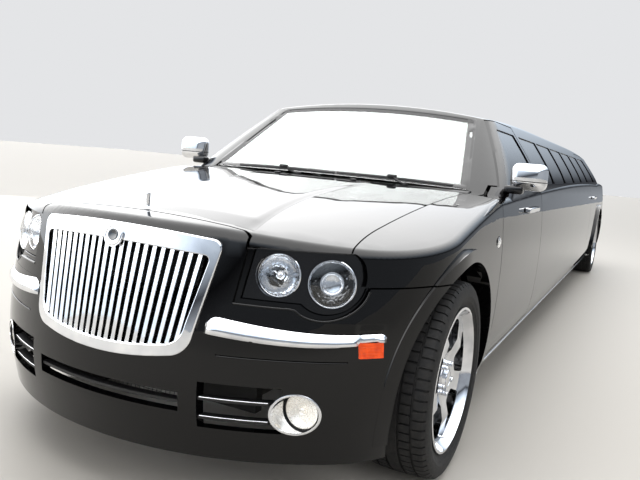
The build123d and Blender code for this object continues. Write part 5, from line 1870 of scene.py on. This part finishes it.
def makeRearTrim():
    # bright bar and blank plate with its frame on the boot lid, reversing lamps, pipe ends
    lid, ahead = ["boot_lid"], (0, -1, 0)
    rows = tailRows([-0.42 + 0.84 * k / 24 for k in range(25)], (0.962, 0.972, 0.982))
    frameRows = tailRows((-0.272, -0.262, -0.13, 0, 0.13, 0.262, 0.272), (0.835, 0.845, 0.945, 0.955))
    bars = [
        castPatch("lidBar", lid, rows, ahead, 0.007, 0.009, 0.002),
        castPatch("plateFrame", lid, frameRows, ahead, 0.004, 0.005, 0.0015),
    ]
    dress(joined("bootTrim", bars), "chrome", "boot_lid")
    plateRows = tailRows((-0.262, -0.13, 0, 0.13, 0.262), (0.840, 0.895, 0.950))
    plate = castPatch("bootPlate", lid, plateRows, ahead, 0.0065, 0.003, 0.001)
    dress(plate, "plate", "boot_lid")
    for side, sideName in labelSides:
        rows = tailRows([side * (0.672 + 0.075 * k / 4) for k in range(5)], (0.820, 0.845, 0.870))
        lamp = castPatch("reverseLamp" + sideName, ["tail_lamps"], rows, ahead, 0.0025, 0.004, 0.001)
        dress(lamp, "pearl")
        tip = spun(
            "pipeTip",
            [
                (0.0, 0.0265), (0.0, 0.033), (0.004, 0.035), (0.095, 0.035), (0.100, 0.033),
                (0.099, 0.0295), (0.020, 0.0285), (0.0, 0.0265),
            ],
            48,
            (side * 0.500, behind(8442), 0.226),
            "Y",
        )
        tip.name = "pipeTip" + sideName
        dress(smooth(tip), "chrome")


def gridMesh(name, low, high, across, up, depth):
    # a moulded mesh panel: a flat grid turned into bars
    deselectAll()
    bpy.ops.mesh.primitive_grid_add(x_subdivisions=across, y_subdivisions=up, size=1)
    panel = bpy.context.object
    panel.name = name
    panel.scale = (high[0] - low[0], high[1] - low[1], 1)
    panel.rotation_euler = (pi / 2, 0, 0)
    bpy.ops.object.transform_apply(location=False, rotation=True, scale=True)
    modified(panel, "WIREFRAME", {"thickness": depth, "use_even_offset": False})
    panel.data.transform(Matrix.Translation(((low[0] + high[0]) / 2, 0, (low[1] + high[1]) / 2)))
    return panel


def makeNoseDepth():
    # radiator core behind the slats and a mesh in the middle intake
    tubes = [
        carBox("tube", (-0.375, 238, 0.540 + 0.0115 * k), (0.375, 254, 0.5445 + 0.0115 * k), 0.001, 1)
        for k in range(22)
    ]
    tanks = [carBox("tank", (x, 232, 0.530), (x + 0.032, 260, 0.800), 0.006, 2) for x in (-0.405, 0.373)]
    assembled("radiatorCore", tubes + tanks, "under")
    centre = gridMesh("intakeMesh", (-0.300, 0.320), (0.300, 0.415), 34, 6, 0.0025)
    centre.data.transform(Matrix.Translation((0, behind(150), 0)))
    dress(smooth(centre, 30), "plastic")


# hoses and a cable fixed at both ends: name, radius, places (X, mm behind the nose, Z)
hoseTable = [
    (
        "intakeTube",
        0.030,
        [(0.445, 590, 0.795), (0.40, 640, 0.845), (0.25, 690, 0.855), (0.14, 720, 0.830)],
    ),
    (
        "upperHose",
        0.018,
        [(-0.20, 262, 0.760), (-0.22, 400, 0.790), (-0.16, 560, 0.770), (-0.10, 600, 0.740)],
    ),
    (
        "heaterHose",
        0.011,
        [(0.46, 1250, 0.785), (0.36, 1300, 0.830), (0.20, 1320, 0.810), (0.12, 1432, 0.760)],
    ),
    ("batteryCable", 0.006, [(-0.51, 1220, 0.802), (-0.42, 1120, 0.850), (-0.28, 980, 0.840)]),
]


def makeEngineBay():
    # engine cover with ribs, intake, battery, bottles, strut towers and hoses
    cover = carBox("cover", (-0.235, 620, 0.798), (0.235, 1180, 0.842), 0.016)
    ribs = [
        carBox("rib", (x - 0.016, 660, 0.838), (x + 0.016, 1120, 0.852), 0.006, 2)
        for x in (-0.15, -0.05, 0.05, 0.15)
    ]
    airBox = carBox("airBox", (0.330, 480, 0.670), (0.530, 690, 0.790), 0.020)
    battery = carBox("battery", (-0.600, 1190, 0.600), (-0.420, 1400, 0.800), 0.008, 2)
    fuses = carBox("fuses", (-0.580, 500, 0.640), (-0.440, 660, 0.780), 0.010, 2)
    assembled("engineCovers", [cover] + ribs + [airBox, battery, fuses], "plastic")
    bottle = carBox("coolantBottle", (0.420, 1180, 0.620), (0.580, 1330, 0.780), 0.030, 4)
    fluid = carBox("brakeFluid", (-0.405, 1370, 0.790), (-0.335, 1425, 0.850), 0.012)
    assembled("fluidBottles", [bottle, fluid], "pearl")
    towers = []
    for side in (1, -1):
        profile = [
            (0.690, 0.086), (0.790, 0.078), (0.806, 0.066), (0.806, 0.030), (0.818, 0.026), (0.818, 0.0)
        ]
        towers.append(spun("tower", profile, 40, (side * 0.560, behind(857), 0)))
    booster = spun(
        "booster",
        [(-0.075, 0.0), (-0.075, 0.060), (-0.060, 0.105), (-0.012, 0.112), (0.0, 0.108), (0.0, 0.0)],
        40,
        (-0.370, behind(1432), 0.740),
        "Y",
    )
    assembled("strutTowers", towers + [booster], "under")
    hoses = []
    for name, radius, places in hoseTable:
        hoses.append(tube(name, [(x, behind(distance), z) for x, distance, z in places], radius))
    dress(joined("bayHoses", hoses), "rubber")
    caps = [
        spun("cap", [(0.0, 0.0), (0.0, 0.026), (0.014, 0.024), (0.018, 0.018), (0.018, 0.0)], 20, place)
        for place in (
            (0.50, behind(1255), 0.779), (0.10, behind(700), 0.840), (-0.370, behind(1398), 0.849)
        )
    ]
    assembled("bayCaps", caps, "wheel")


def makeDoorCards():
    # armrest, pull and map pocket on the inside of each door
    for end, start, finishEnd in (("front", 1760, 2420), ("rear", 6260, 6700)):
        rest = carBox("armrest", (0.786, start + 60, 0.640), (0.850, finishEnd, 0.700), 0.018)
        pull = carBox("pull", (0.800, start + 120, 0.760), (0.848, start + 300, 0.785), 0.009)
        pocket = carBox("pocket", (0.818, start + 80, 0.390), (0.850, finishEnd - 40, 0.520), 0.010)
        card = smooth(joined("doorCard", [rest, pull, pocket]))
        for side, sideName in bodySides:
            piece = onSide(card, side, end + "DoorCard" + sideName.capitalize())
            dress(piece, "trim", end + "_door_" + sideName)
        discard([card])


def makeBootMat():
    mat = carBox("bootCarpet", (-0.530, 7905, 0.4005), (0.530, 8375, 0.4085), 0.003, 1)
    dress(smooth(mat), "carpet")


makeHoodCrease()
makeFrontStrips()
makeEdgeBeads()
makeScreenBand()
makeWipers()
makeSillStrips()
makeMirrors()
makeRearTrim()
makeNoseDepth()
makeEngineBay()
makeDoorCards()
makeBootMat()
print("outside trimmed")
